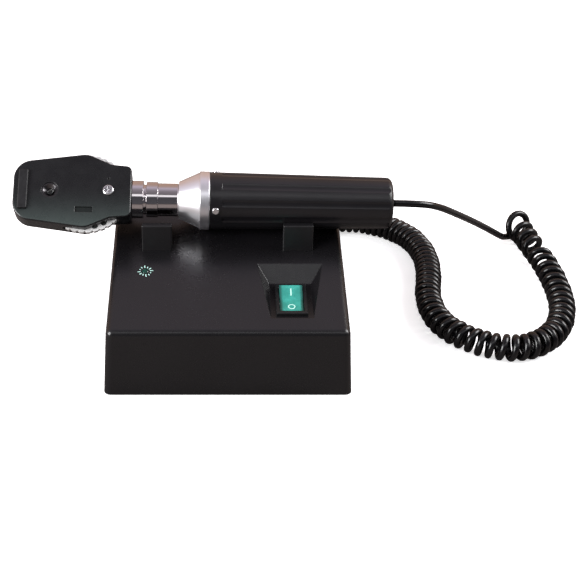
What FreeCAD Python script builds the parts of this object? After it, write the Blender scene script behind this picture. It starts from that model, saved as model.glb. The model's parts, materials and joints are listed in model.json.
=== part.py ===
import FreeCAD, Part
import math
import os
from FreeCAD import Vector, Placement, Rotation

# Desk ophthalmoscope lying on its sloped power-supply base, with a curly cord between the two.
# Millimetres. +X runs along the instrument to its cord end, +Y goes to the back of the base, +Z is up.
# The origin is on the table under the centre of the base.

# ---- driving sizes: cord ----
CORD_RADIUS = 1.8

# ---- driving sizes: base ----
BASE_LENGTH = 120.0
BASE_DEPTH = 96.0
BASE_DRAFT = math.radians(3.3)
FRONT_HEIGHT = 35.2
PANEL_SLOPE = math.radians(15.0)
SHELL_WALL = 2.5
EDGE_RADIUS = 3.4
MAT_THICKNESS = 0.6
MAT_INSET_X = 13.0
MAT_INSET_Y = 10.0
PLATE_THICKNESS = 2.5
PLATE_GAP = 0.3
BOSS_RADIUS = 4.0
BOSS_INSET_X = 8.5
BOSS_INSET_Y = 8.5
SCREW_RADIUS = 1.5
SCREW_HEAD_RADIUS = 2.8
SCREW_LENGTH = 10.0

# ---- switch recess, in the panel's own plane ----
RECESS_CENTRE_X = 30.7
RECESS_FRONT = 9.3
RECESS_LENGTH = 36.1
RECESS_DEPTH = 5.5
RECESS_BACK_RUN = 8.6
RECESS_HALF_BACK = 16.0
RECESS_HALF_FRONT = 10.3
RECESS_WALL = 2.0
BEZEL_WIDTH = 15.2
BEZEL_LENGTH = 24.0
BEZEL_HEIGHT = 1.6
SWITCH_BODY_INSET = 1.1
SWITCH_BODY_DEPTH = 14.0
ROCKER_WIDTH = 11.2
ROCKER_LENGTH = 18.6
ROCKER_HEIGHT = 7.0
ROCKER_TILT = -9.0
ROCKER_GAP = 0.35
ROCKER_END_GAP = 0.8
ROCKER_RISE = 1.8
ROCKER_DISH = 0.9
PIVOT_DEPTH = 2.2
PIVOT_RADIUS = 1.0
TERMINAL_LENGTH = 8.0

# ---- pilot lamp ----
PILOT_X = -40.4
PILOT_UP_PANEL = 40.2
PILOT_RADIUS = 1.6
PILOT_BODY_RADIUS = 3.0
PILOT_BODY_LENGTH = 6.0
PILOT_PROUD = 0.1

# ---- stop pegs ----
PEG_SPACING = 70.0
PEG_WIDTH = 14.9
PEG_FACE_Y = 6.2
PEG_TOP_Z = 63.4
PEG_TOP_THICKNESS = 3.6
PEG_ROOT_THICKNESS = 5.0
PEG_FLANGE = 3.0
PEG_FLANGE_THICKNESS = 2.0
PEG_EDGE_RADIUS = 0.6

# ---- inside the base ----
CORE_LENGTH = 44.0
CORE_DEPTH = 36.0
CORE_STACK = 22.0
CORE_LIMB = 7.5
COIL_WALL_GAP = 0.4
TRANSFORMER_X = -12.0
TRANSFORMER_Y = 2.0
CLAMP_THICKNESS = 1.2
CLAMP_FOOT = 8.0
CLAMP_MARGIN = 3.0
CLAMP_SCREW_HEAD = 1.6
COIL_ROUND = 3.0
BOARD_LENGTH = 34.0
BOARD_WIDTH = 24.0
BOARD_THICKNESS = 1.6
BOARD_FROM_RIGHT = 24.0
BOARD_FROM_BACK = 28.0
BOARD_STANDOFF = 5.0
STANDOFF_RADIUS = 2.4
STANDOFF_INSET = 3.0
CAPACITOR_RADIUS = 4.0
CAPACITOR_HEIGHT = 11.0
REGULATOR_LENGTH = 10.0
REGULATOR_WIDTH = 18.0
REGULATOR_HEIGHT = 8.0
INLET_X = -26.0
INLET_Z = 26.0
INLET_WIDTH = 27.0
INLET_HEIGHT = 19.6
INLET_FLANGE_WIDTH = 49.0
INLET_FLANGE_HEIGHT = 23.0
INLET_FLANGE_THICKNESS = 2.4
INLET_SCREW_SPACING = 40.0
INLET_BODY_DEPTH = 14.0
INLET_WALL = 1.6
INLET_ROUND = 3.0
INLET_GAP = 0.3
PIN_SPACING = 7.0
PIN_STEP_DOWN = 1.5
PIN_STEP_UP = 2.0
PIN_HALF_WIDTH = 1.0
PIN_HALF_HEIGHT = 2.0
PIN_TAIL = 5.0
PIN_TIP_BACK = 3.0
FUSE_X = 22.0
FUSE_Z = 38.0
FUSE_RADIUS = 6.0
FUSE_CAP_RADIUS = 7.2
GLAND_X = 38.0
GLAND_Z = 15.0
GLAND_RADIUS = 3.6
GLAND_COLLAR = 1.6
GLAND_NOSE = 7.0
GLAND_NOSE_WALL = 0.6
GLAND_INNER = 2.0
FUSE_CAP_FLANGE = 1.8
FUSE_DEPTH = 16.0
FUSE_PLUG_RADIUS = 3.9
FUSE_PLUG_GAP = 0.1
FUSE_PLUG_LENGTH = 9.0
FUSE_KNOB_RADIUS = 5.6
FUSE_KNOB_LENGTH = 3.0
FUSE_SLOT_WIDTH = 1.2
FUSE_SLOT_DEPTH = 0.8

# ---- handset: sizes along its own axis, measured from the left end of the barrel ----
HANDSET_X = -8.9
HANDSET_TILT = 1.0
REST_GAP = 0.3
BARREL_LENGTH = 91.0
BARREL_LEFT_RADIUS = 14.3
BARREL_RIGHT_RADIUS = 12.8
BARREL_BORE = 10.6
BARREL_END_WALL = 3.0
BARREL_END_ROUND = 3.0
FLUTES = 10
FLUTE_START = 6.2
FLUTE_END = 95.0
FLUTE_WIDTH = 4.2
FLUTE_DEPTH = 0.45
FLUTE_PHASE = 22.5
BARREL_SCREW_X = 3.0
BARREL_SCREW_PHASE = 7.4
BARREL_SCREW_STEP = 120.0
BARREL_SCREWS = 2
BARREL_SCREW_RADIUS = 1.75
BARREL_SCREW_HEIGHT = 0.9
BARREL_SCREW_SHANK = 1.0
FLANGE_WIDTH = 5.1
FLANGE_RADIUS = 14.55
CONE_LENGTH = 10.3
CONE_LARGE_RADIUS = 14.0
CONE_SMALL_RADIUS = 9.3
SPIGOT_LENGTH = 9.0
SPIGOT_GAP = 0.05
CONE_BORE = 6.5
SLEEVE_LENGTH = 10.3
SLEEVE_RADIUS = 8.27
LOCK_RING_WIDTH = 5.85
LOCK_RING_RADIUS = 8.85
GROOVE_WIDTH = 1.45
GROOVE_RADIUS = 7.5
SOCKET_WIDTH = 5.5
SOCKET_RADIUS = 9.37
NECK_RADIUS = 6.0
NECK_BORE = 4.0
NECK_CLEARANCE = 0.05
RING_GAP = 0.1
SOCKET_PLATE_THICKNESS = 2.0
SOCKET_PLATE_RADIUS = 8.0
LAMP_BASE_RADIUS = 3.2
LAMP_BASE_LENGTH = 9.0
LAMP_GLASS_RADIUS = 2.3
LAMP_GLASS_LENGTH = 6.0
CONTACT_RADIUS = 1.2
CONTACT_LENGTH = 8.0
SPRING_WIRE = 0.5
SPRING_TURNS = 4
SPRING_STEPS = 12
TUBE_GAP = 0.4
INSULATOR_WALL = 1.4
TERMINAL_BLOCK_LENGTH = 14.0
TERMINAL_BLOCK_WIDTH = 12.0
TERMINAL_BLOCK_HEIGHT = 8.0
TERMINAL_SCREW_RADIUS = 0.95
GROMMET_BODY_RADIUS = 5.0
GROMMET_FLANGE_RADIUS = 6.5
GROMMET_FLANGE = 1.5
GROMMET_NOSE = 1.2
GROMMET_STEP = 1.2
GROMMET_NOSE_WALL = 0.4

# ---- head: x along the handset axis, v up in the face, w out of the face ----
FACE_ELEVATION = 52.0
HEAD_LENGTH = 58.4
HEAD_SEAT_GAP = 0.2
HEAD_LEFT_HALF = 14.9
HEAD_WIDE_HALF = 19.8
HEAD_SHOULDER_LENGTH = 10.3
HEAD_SHOULDER_HALF = 14.3
HEAD_RIGHT_HALF = 13.4
HEAD_LEFT_ROUND = 9.5
HEAD_WIDE_ROUND = 8.0
HEAD_SHOULDER_ROUND = 6.0
HEAD_RIGHT_ROUND = 3.0
HEAD_WALL = 1.6
FACE_W = 10.5
SPLIT_W = 4.3
BACK_W = -8.5
FACE_EDGE_ROUND = 0.8
BACK_TAPER = 3.2
BACK_TAPER_FROM = 3.2
BACK_BEVEL = 1.1
COVER_SEAM = 0.1
DISC_FROM_RIGHT = 22.3
DISC_RADIUS = 20.9
DISC_THICKNESS = 2.1
DISC_GAP = 0.3
SCALLOPS = 36
SCALLOP_RADIUS = 0.9
LENS_COUNT = 24
LENS_CIRCLE = 18.0
LENS_RADIUS = 1.6
AXLE_RADIUS = 2.0
RUNNING_GAP = 0.05
AXLE_BOSS_RADIUS = 4.0
EYE_RING_RADIUS = 4.1
EYE_HOLE_RADIUS = 1.6
EYE_RECESS = 0.5
BROW_FROM_LEFT = 4.9
BROW_WIDTH = 4.8
BROW_HALF = 10.5
BROW_THICKNESS = 1.6
COVER_SCREW_V = 6.0
COVER_SCREW_RADIUS = 1.1
COVER_SCREW_HEAD = 1.9
COVER_BOSS_RADIUS = 2.8
FACE_SCREW_FROM_RIGHT = 11.4
FACE_SCREW_RADIUS = 2.75
FACE_SCREW_HEIGHT = 1.2
FACE_SCREW_SHANK = 1.25
DOT_V = 6.3
DOT_RADIUS = 0.5
WINDOW_FROM_DISC = 0.9
WINDOW_V = -10.3
WINDOW_WIDTH = 8.6
WINDOW_HEIGHT = 2.9
WINDOW_THICKNESS = 1.0
DETENT_THICKNESS = 0.4
DETENT_WIDTH = 5.0
DETENT_LENGTH = 12.0
WHEEL_FROM_RIGHT = 17.3
WHEEL_W = -6.5
WHEEL_RADIUS = 8.6
WHEEL_THICKNESS = 1.6
WHEEL_HOLES = 5
WHEEL_HOLE_CIRCLE = 6.5
WHEEL_KNURLS = 30
WHEEL_AXLE_RADIUS = 1.0
WHEEL_SLOT_GAP = 0.5
CONDENSER_FROM_DISC = 4.2
CONDENSER_RADIUS = 3.0
CONDENSER_LENGTH = 5.0
TUBE_WALL = 0.8
TUBE_LENGTH = 7.6
BLOCK_WIDTH = 8.0
BLOCK_TAIL = 5.0
BLOCK_HOLE_RADIUS = 2.6
MIRROR_HALF = 3.8
MIRROR_HOLE_RADIUS = 1.3
MIRROR_THICKNESS = 1.0
PATIENT_WINDOW_RADIUS = 4.0

# ---- cord: points chosen by hand, relative to the centre of the base ----
CURL_RADIUS = 7.0
LEAD_FIRST_RUN = 14.8
LEAD_POINTS = [(108.5, 30.0, 60.8), (120.0, 44.0, 48.5), (133.5, 61.5, 33.5),
               (147.0, 77.5, 19.5), (156.5, 89.5, 9.0), (163.5, 98.0, 4.6)]
CURL_POINTS = [(167.0, 106.0, 9.5), (170.0, 88.0, 8.3), (174.8, 66.0, 7.2), (177.0, 41.0, 7.0),
               (175.5, 16.0, 7.0), (166.5, -6.0, 7.0), (148.0, -19.5, 7.0), (126.0, -14.5, 7.0),
               (109.0, 3.0, 7.0), (105.5, 27.0, 7.0), (109.8, 50.0, 7.0), (110.8, 74.0, 7.0),
               (103.0, 96.5, 7.0), (81.5, 111.5, 7.0), (58.0, 113.0, 7.0), (42.0, 99.5, 7.0),
               (38.0, 82.0, 7.0)]
TAIL_POINTS = [(38.0, 73.5, 8.6), (38.0, 65.0, 15.0)]

SHAPES = {}


def save(name, shape):
    """Keep a node's shape under its name."""
    SHAPES[name] = shape.removeSplitter() if shape.ShapeType != "Compound" else shape


# ---- small helpers ----
def box(x0, x1, y0, y1, z0, z1):
    return Part.makeBox(x1 - x0, y1 - y0, z1 - z0, Vector(x0, y0, z0))


def rod(radius, start, direction, length):
    return Part.makeCylinder(radius, length, Vector(*start), Vector(*direction))


def solid_from_faces(corner_lists):
    """Closed solid from flat polygons given by their corners."""
    faces = []
    for corners in corner_lists:
        loop = [Vector(*c) for c in corners]
        loop.append(loop[0])
        faces.append(Part.Face(Part.makePolygon(loop)))
    solid = Part.makeSolid(Part.makeShell(faces))
    if solid.Volume < 0:
        solid.reverse()
    return solid


def revolve_x(profile):
    """Turn a closed (x, radius) outline about the X axis."""
    loop = [Vector(x, r, 0) for x, r in profile]
    loop.append(loop[0])
    face = Part.Face(Part.makePolygon(loop))
    return face.revolve(Vector(0, 0, 0), Vector(1, 0, 0), 360)


def union(shapes):
    result = shapes[0]
    for shape in shapes[1:]:
        result = result.fuse(shape)
    return result.removeSplitter()


def cut_all(shape, tools):
    for tool in tools:
        shape = shape.cut(tool)
    return shape


def round_edges(shape, radius, keep):
    """Fillet the edges for which keep(edge) is true."""
    edges = [e for e in shape.Edges if keep(e)]
    return shape.makeFillet(radius, edges)


def direction_of(edge):
    a = edge.valueAt(edge.FirstParameter)
    b = edge.valueAt(edge.LastParameter)
    return (b - a).normalize()


def rounded_outline(corners, radii):
    """Closed wire through corners, each rounded by a tangent arc of its own radius."""
    count = len(corners)
    starts = []
    ends = []
    middles = []
    for i in range(count):
        p = Vector(*corners[i])
        back = (Vector(*corners[i - 1]) - p).normalize()
        ahead = (Vector(*corners[(i + 1) % count]) - p).normalize()
        half = back.getAngle(ahead) / 2
        reach = radii[i] / math.tan(half)
        inward = (back + ahead).normalize()
        starts.append(p + back * reach)
        ends.append(p + ahead * reach)
        middles.append(p + inward * (radii[i] / math.sin(half) - radii[i]))
    edges = []
    for i in range(count):
        edges.append(Part.Arc(starts[i], middles[i], ends[i]).toShape())
        edges.append(Part.LineSegment(ends[i], starts[(i + 1) % count]).toShape())
    return Part.Wire(edges)


def bent_tube(points, radius):
    """Tube along straight runs joined by the largest tangent arcs that the runs allow."""
    points = [Vector(*p) for p in points]
    edges = []
    radii = []
    place = points[0]
    for i in range(1, len(points) - 1):
        back = points[i - 1] - points[i]
        ahead = points[i + 1] - points[i]
        shorter = min(back.Length, ahead.Length)
        half_turn = (math.pi - back.getAngle(ahead)) / 2
        bend = 0.45 * shorter / math.tan(half_turn)
        radii.append(bend)
        reach = 0.45 * shorter
        start = points[i] + back.normalize() * reach
        end = points[i] + ahead.normalize() * reach
        inward = (back + ahead).normalize()
        middle = points[i] + inward * (bend / math.cos(half_turn) - bend)
        edges.append(Part.LineSegment(place, start).toShape())
        edges.append(Part.Arc(start, middle, end).toShape())
        place = end
    edges.append(Part.LineSegment(place, points[-1]).toShape())
    path = Part.Wire(edges)
    first = (points[1] - points[0]).normalize()
    section = Part.Wire(Part.Circle(points[0], first, radius).toShape())
    tube = path.makePipeShell([section], True, True)
    return tube, path.Length, radii


def save_cord(name, points, radius):
    tube, length, radii = bent_tube(points, radius)
    share = tube.Volume / (math.pi * radius ** 2 * length)
    print(name, "length", round(length, 1), "volume share", round(share, 4),
          "bend radii", [round(r, 1) for r in radii])
    save(name, tube)


# ---- places in the base ----
def panel_z(y, below=0.0):
    """Height of the sloped panel at y, or of a surface parallel to it and below it."""
    front_y = -BASE_DEPTH / 2 + FRONT_HEIGHT * math.tan(BASE_DRAFT)
    return FRONT_HEIGHT + (y - front_y) * math.tan(PANEL_SLOPE) - below / math.cos(PANEL_SLOPE)


def panel_point(x, up, out=0.0):
    """Point a distance up the panel from its front edge, and out of its surface."""
    front_y = -BASE_DEPTH / 2 + FRONT_HEIGHT * math.tan(BASE_DRAFT)
    y = front_y + up * math.cos(PANEL_SLOPE) - out * math.sin(PANEL_SLOPE)
    z = FRONT_HEIGHT + up * math.sin(PANEL_SLOPE) + out * math.cos(PANEL_SLOPE)
    return (x, y, z)


PANEL_OUT = (0, -math.sin(PANEL_SLOPE), math.cos(PANEL_SLOPE))


def drafted_block(inset, z0, below):
    """Block with four drafted sides, and the sloped panel, lowered by below, as its top."""
    z1 = panel_z(BASE_DEPTH / 2) + 10.0
    lean = math.tan(BASE_DRAFT)
    rings = []
    for z in (z0, z1):
        hx = BASE_LENGTH / 2 - inset - z * lean
        hy = BASE_DEPTH / 2 - inset - z * lean
        rings.append([(-hx, -hy, z), (hx, -hy, z), (hx, hy, z), (-hx, hy, z)])
    low, high = rings
    sides = [[low[i], low[(i + 1) % 4], high[(i + 1) % 4], high[i]] for i in range(4)]
    block = solid_from_faces([low[::-1], high] + sides)
    reach = BASE_LENGTH
    corners = [(-reach, -reach, panel_z(-reach, below)), (reach, -reach, panel_z(-reach, below)),
               (reach, reach, panel_z(reach, below)), (-reach, reach, panel_z(reach, below))]
    cutter = Part.Face(Part.makePolygon([Vector(*c) for c in corners + corners[:1]]))
    return block.cut(cutter.extrude(Vector(0, 0, 2 * reach)))


def recess_solid(grow):
    """Wedge funnel sunk into the panel; grow makes it larger all round for the wall around it."""
    front = RECESS_FRONT - grow
    back = RECESS_FRONT + RECESS_LENGTH + grow
    floor_back = RECESS_FRONT + RECESS_LENGTH - RECESS_BACK_RUN + grow
    depth = RECESS_DEPTH + grow
    half_front = RECESS_HALF_FRONT + grow
    half_back = RECESS_HALF_BACK + grow
    rise = 1.0 / depth if grow == 0 else 0.0
    sink = grow * 1.05
    out = rise * depth

    def extend(top, bottom):
        return [t + (t - b) * rise for t, b in zip(top, bottom)]

    top_back = extend((half_back, back, 0.0), (half_front, floor_back, -depth))
    top_front = extend((half_front, front, 0.0), (half_front, floor_back, -depth + sink))
    corners = {}
    for side in (-1, 1):
        x = RECESS_CENTRE_X
        corners["A", side] = panel_point(x + side * top_back[0], top_back[1], out)
        corners["B", side] = panel_point(x + side * top_front[0], top_front[1], out)
        corners["C", side] = panel_point(x + side * half_front, floor_back, -depth)
        corners["D", side] = panel_point(x + side * half_front, front, -sink)
    if grow == 0:
        return solid_from_faces([
            [corners["A", -1], corners["A", 1], corners["B", 1], corners["B", -1]],
            [corners["A", -1], corners["A", 1], corners["C", 1], corners["C", -1]],
            [corners["B", -1], corners["B", 1], corners["C", 1], corners["C", -1]],
            [corners["A", -1], corners["B", -1], corners["C", -1]],
            [corners["A", 1], corners["B", 1], corners["C", 1]]])
    return solid_from_faces([
        [corners["A", -1], corners["A", 1], corners["B", 1], corners["B", -1]],
        [corners["A", -1], corners["A", 1], corners["C", 1], corners["C", -1]],
        [corners["D", -1], corners["D", 1], corners["C", 1], corners["C", -1]],
        [corners["B", -1], corners["B", 1], corners["D", 1], corners["D", -1]],
        [corners["A", -1], corners["B", -1], corners["C", -1]],
        [corners["B", -1], corners["D", -1], corners["C", -1]],
        [corners["A", 1], corners["B", 1], corners["C", 1]],
        [corners["B", 1], corners["D", 1], corners["C", 1]]])


# The switch sits square on the recess floor, which slopes less than the panel.
FLOOR_RUN = RECESS_LENGTH - RECESS_BACK_RUN
FLOOR_SLOPE = PANEL_SLOPE - math.atan2(RECESS_DEPTH, FLOOR_RUN)
SWITCH_UP = RECESS_FRONT + FLOOR_RUN / 2
SWITCH_CENTRE = panel_point(RECESS_CENTRE_X, SWITCH_UP, -RECESS_DEPTH / 2)
SWITCH_PLACE = Placement(Vector(*SWITCH_CENTRE), Rotation(Vector(1, 0, 0), math.degrees(FLOOR_SLOPE)))
PLATE_Z = MAT_THICKNESS
PLATE_TOP = MAT_THICKNESS + PLATE_THICKNESS


def switch_opening():
    half_x = BEZEL_WIDTH / 2 - SWITCH_BODY_INSET
    half_y = BEZEL_LENGTH / 2 - SWITCH_BODY_INSET
    return half_x, half_y


def boss_places():
    reach_x = BASE_LENGTH / 2 - BOSS_INSET_X
    reach_y = BASE_DEPTH / 2 - BOSS_INSET_Y
    return [(sx * reach_x, sy * reach_y) for sx in (-1, 1) for sy in (-1, 1)]


def peg_outline(x, grow=0.0):
    """Cross-section of a peg: upright front face, back face that leans out to the root."""
    root_z = panel_z(PEG_FACE_Y) - SHELL_WALL * 2
    root_back = PEG_FACE_Y + PEG_ROOT_THICKNESS
    low = [(x, PEG_FACE_Y, root_z), (x, root_back, root_z), (x, root_back, panel_z(root_back))]
    return low + [(x, PEG_FACE_Y + PEG_TOP_THICKNESS, PEG_TOP_Z), (x, PEG_FACE_Y, PEG_TOP_Z)]


def peg_blade(x):
    loop = [Vector(*c) for c in peg_outline(x - PEG_WIDTH / 2)]
    loop.append(loop[0])
    return Part.Face(Part.makePolygon(loop)).extrude(Vector(PEG_WIDTH, 0, 0))


BOARD_X = BASE_LENGTH / 2 - BOARD_FROM_RIGHT
BOARD_Y = BASE_DEPTH / 2 - BOARD_FROM_BACK


# ---- base pieces ----
def make_base_shell():
    def outer_edge(edge):
        return edge.BoundBox.ZMax > PLATE_TOP

    outer = drafted_block(0.0, MAT_THICKNESS, 0.0)
    cavity = drafted_block(SHELL_WALL, MAT_THICKNESS, SHELL_WALL)
    outer_round = round_edges(outer, EDGE_RADIUS, outer_edge)
    shell = outer_round.cut(cavity)
    top = drafted_block(SHELL_WALL, MAT_THICKNESS, SHELL_WALL * 0.9)
    wall = recess_solid(RECESS_WALL).common(top)
    shell = shell.fuse(wall)
    for x, y in boss_places():
        boss = rod(BOSS_RADIUS, (x, y, PLATE_TOP), (0, 0, 1), panel_z(y))
        shell = shell.fuse(boss.common(top))
        shell = shell.cut(rod(SCREW_RADIUS, (x, y, PLATE_TOP), (0, 0, 1), SCREW_LENGTH))
    half_x, half_y = switch_opening()
    opening = box(-half_x, half_x, -half_y, half_y, -SWITCH_BODY_DEPTH, BEZEL_HEIGHT)
    opening.Placement = SWITCH_PLACE
    tools = [recess_solid(0.0), opening]
    tools.append(rod(PILOT_RADIUS, panel_point(PILOT_X, PILOT_UP_PANEL, -2 * SHELL_WALL), PANEL_OUT,
                     4 * SHELL_WALL))
    for side in (-1, 1):
        tools.append(peg_blade(side * PEG_SPACING / 2))
    back = BASE_DEPTH / 2
    tools.append(box(INLET_X - INLET_WIDTH / 2, INLET_X + INLET_WIDTH / 2, back - 9, back + 1,
                     INLET_Z - INLET_HEIGHT / 2, INLET_Z + INLET_HEIGHT / 2))
    for side in (-1, 1):
        tools.append(rod(SCREW_RADIUS, (INLET_X + side * INLET_SCREW_SPACING / 2, back - 9, INLET_Z),
                         (0, 1, 0), 12))
    tools.append(rod(FUSE_RADIUS, (FUSE_X, back - 9, FUSE_Z), (0, 1, 0), 12))
    tools.append(rod(GLAND_RADIUS, (GLAND_X, back - 9, GLAND_Z), (0, 1, 0), 12))
    shell = cut_all(shell, tools)
    save("base_shell", shell)


def make_bottom():
    z0 = PLATE_Z
    half_x = BASE_LENGTH / 2 - SHELL_WALL - PLATE_TOP * math.tan(BASE_DRAFT) - PLATE_GAP
    half_y = BASE_DEPTH / 2 - SHELL_WALL - PLATE_TOP * math.tan(BASE_DRAFT) - PLATE_GAP
    plate = box(-half_x, half_x, -half_y, half_y, z0, PLATE_TOP)
    screws = []
    for x, y in boss_places():
        head = Part.makeCone(SCREW_HEAD_RADIUS, SCREW_RADIUS, PLATE_THICKNESS * 0.6, Vector(x, y, z0))
        shank = rod(SCREW_RADIUS, (x, y, z0), (0, 0, 1), PLATE_THICKNESS + SCREW_LENGTH)
        slot = box(x - SCREW_HEAD_RADIUS, x + SCREW_HEAD_RADIUS, y - 0.35, y + 0.35, z0, z0 + 0.6)
        plate = cut_all(plate, [head, shank])
        screws.append(head.fuse(shank).cut(slot))
    for x, y in clamp_feet():
        plate = plate.cut(rod(SCREW_RADIUS, (x, y, z0), (0, 0, 1), PLATE_THICKNESS))
    for x, y in standoff_places():
        plate = plate.fuse(rod(STANDOFF_RADIUS, (x, y, PLATE_TOP), (0, 0, 1), BOARD_STANDOFF))
    save("bottom_plate", plate)
    save("bottom_screws", Part.makeCompound(screws))
    half_x = BASE_LENGTH / 2 - MAT_INSET_X
    half_y = BASE_DEPTH / 2 - MAT_INSET_Y
    mat = box(-half_x, half_x, -half_y, half_y, 0, MAT_THICKNESS)
    save("rubber_mat", round_edges(mat, 6.0, lambda e: abs(direction_of(e).z) > 0.9))


def clamp_feet():
    reach = CORE_LENGTH / 2 + CLAMP_THICKNESS + CLAMP_FOOT / 2
    return [(TRANSFORMER_X + side * reach, TRANSFORMER_Y) for side in (-1, 1)]


def standoff_places():
    reach_x = BOARD_LENGTH / 2 - STANDOFF_INSET
    reach_y = BOARD_WIDTH / 2 - STANDOFF_INSET
    return [(BOARD_X + sx * reach_x, BOARD_Y + sy * reach_y) for sx in (-1, 1) for sy in (-1, 1)]


def make_transformer():
    x, y, z0 = TRANSFORMER_X, TRANSFORMER_Y, PLATE_TOP
    core = box(x - CORE_LENGTH / 2, x + CORE_LENGTH / 2, y - CORE_STACK / 2, y + CORE_STACK / 2,
               z0, z0 + CORE_DEPTH)
    gap = (CORE_LENGTH - 4 * CORE_LIMB) / 2
    windows = []
    for side in (-1, 1):
        left = x - CORE_LIMB - gap if side < 0 else x + CORE_LIMB
        windows.append(box(left, left + gap, y - CORE_STACK, y + CORE_STACK,
                           z0 + CORE_LIMB, z0 + CORE_DEPTH - CORE_LIMB))
    save("transformer_core", cut_all(core, windows))
    grow = COIL_WALL_GAP
    bulge = gap - grow
    outer = box(x - CORE_LIMB - bulge, x + CORE_LIMB + bulge, y - CORE_STACK / 2 - bulge,
                y + CORE_STACK / 2 + bulge, z0 + CORE_LIMB + grow, z0 + CORE_DEPTH - CORE_LIMB - grow)
    outer = round_edges(outer, COIL_ROUND, lambda e: abs(direction_of(e).z) > 0.9)
    limb = box(x - CORE_LIMB - grow, x + CORE_LIMB + grow, y - CORE_STACK / 2 - grow,
               y + CORE_STACK / 2 + grow, z0, z0 + CORE_DEPTH)
    save("transformer_winding", outer.cut(limb))
    half = CORE_STACK / 2 - CLAMP_MARGIN
    inner = box(x - CORE_LENGTH / 2, x + CORE_LENGTH / 2, y - half, y + half, z0, z0 + CORE_DEPTH)
    cover = box(x - CORE_LENGTH / 2 - CLAMP_THICKNESS, x + CORE_LENGTH / 2 + CLAMP_THICKNESS, y - half,
                y + half, z0, z0 + CORE_DEPTH + CLAMP_THICKNESS)
    clamp = cover.cut(inner)
    bolts = []
    for fx, fy in clamp_feet():
        foot = box(fx - CLAMP_FOOT / 2, fx + CLAMP_FOOT / 2, y - half, y + half, z0, z0 + CLAMP_THICKNESS)
        clamp = clamp.fuse(foot)
        clamp = clamp.cut(rod(SCREW_RADIUS, (fx, fy, z0), (0, 0, 1), CLAMP_THICKNESS))
        bolt = rod(SCREW_RADIUS, (fx, fy, PLATE_Z), (0, 0, 1), PLATE_THICKNESS + CLAMP_THICKNESS)
        bolts.append(bolt.fuse(rod(SCREW_HEAD_RADIUS, (fx, fy, z0 + CLAMP_THICKNESS), (0, 0, 1),
                                    CLAMP_SCREW_HEAD)))
    save("transformer_clamp", clamp.removeSplitter())
    save("clamp_screws", Part.makeCompound(bolts))


def make_board():
    z0 = PLATE_TOP + BOARD_STANDOFF
    board = box(BOARD_X - BOARD_LENGTH / 2, BOARD_X + BOARD_LENGTH / 2, BOARD_Y - BOARD_WIDTH / 2,
                BOARD_Y + BOARD_WIDTH / 2, z0, z0 + BOARD_THICKNESS)
    save("circuit_board", board)
    top = z0 + BOARD_THICKNESS
    left = BOARD_X - BOARD_LENGTH / 4
    right = BOARD_X + BOARD_LENGTH / 4
    blocks = [rod(CAPACITOR_RADIUS, (left, BOARD_Y, top), (0, 0, 1), CAPACITOR_HEIGHT),
              box(right - REGULATOR_LENGTH / 2, right + REGULATOR_LENGTH / 2,
                  BOARD_Y - REGULATOR_WIDTH / 2, BOARD_Y + REGULATOR_WIDTH / 2, top,
                  top + REGULATOR_HEIGHT)]
    save("board_parts", Part.makeCompound(blocks))


def make_pegs():
    for name, side in (("stop_peg_left", -1), ("stop_peg_right", 1)):
        x = side * PEG_SPACING / 2
        blade = peg_blade(x)
        blade = round_edges(blade, PEG_EDGE_RADIUS,
                            lambda e: e.BoundBox.ZMin > panel_z(PEG_FACE_Y + PEG_ROOT_THICKNESS) + 0.5
                            or (abs(direction_of(e).z) > 0.9 and e.BoundBox.ZMax > PEG_TOP_Z - 1))
        centre_y = PEG_FACE_Y + PEG_ROOT_THICKNESS / 2
        half_x = PEG_WIDTH / 2 + PEG_FLANGE
        half_y = PEG_ROOT_THICKNESS / 2 + PEG_FLANGE
        drop = SHELL_WALL + PEG_FLANGE_THICKNESS
        corners = []
        for y in (centre_y - half_y, centre_y + half_y):
            corners.append(Vector(x - half_x, y, panel_z(y, drop)))
        loop = [corners[0], corners[1], corners[1] + Vector(2 * half_x, 0, 0),
                corners[0] + Vector(2 * half_x, 0, 0), corners[0]]
        lift = PEG_FLANGE_THICKNESS / math.cos(PANEL_SLOPE)
        flange = Part.Face(Part.makePolygon(loop)).extrude(Vector(0, 0, lift))
        keep = box(x - half_x, x + half_x, centre_y - half_y, centre_y + half_y,
                   panel_z(PEG_FACE_Y) - SHELL_WALL - PEG_FLANGE_THICKNESS, PEG_TOP_Z)
        save(name, blade.common(keep).fuse(flange).removeSplitter())


def make_pilot():
    back = panel_point(PILOT_X, PILOT_UP_PANEL, -SHELL_WALL - PILOT_BODY_LENGTH)
    seat = panel_point(PILOT_X, PILOT_UP_PANEL, -SHELL_WALL)
    tip = panel_point(PILOT_X, PILOT_UP_PANEL, PILOT_PROUD)
    centre = panel_point(PILOT_X, PILOT_UP_PANEL, PILOT_PROUD - PILOT_RADIUS * 1.25)
    stem = rod(PILOT_RADIUS - RUNNING_GAP, seat, PANEL_OUT, SHELL_WALL + PILOT_PROUD)
    dome = Part.makeSphere(PILOT_RADIUS * 1.6, Vector(*centre))
    dome = dome.common(rod(PILOT_RADIUS - RUNNING_GAP, tip, PANEL_OUT, PILOT_RADIUS))
    save("pilot_lens", stem.fuse(dome).removeSplitter())
    save("pilot_lamp", rod(PILOT_BODY_RADIUS, back, PANEL_OUT, PILOT_BODY_LENGTH))


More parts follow.
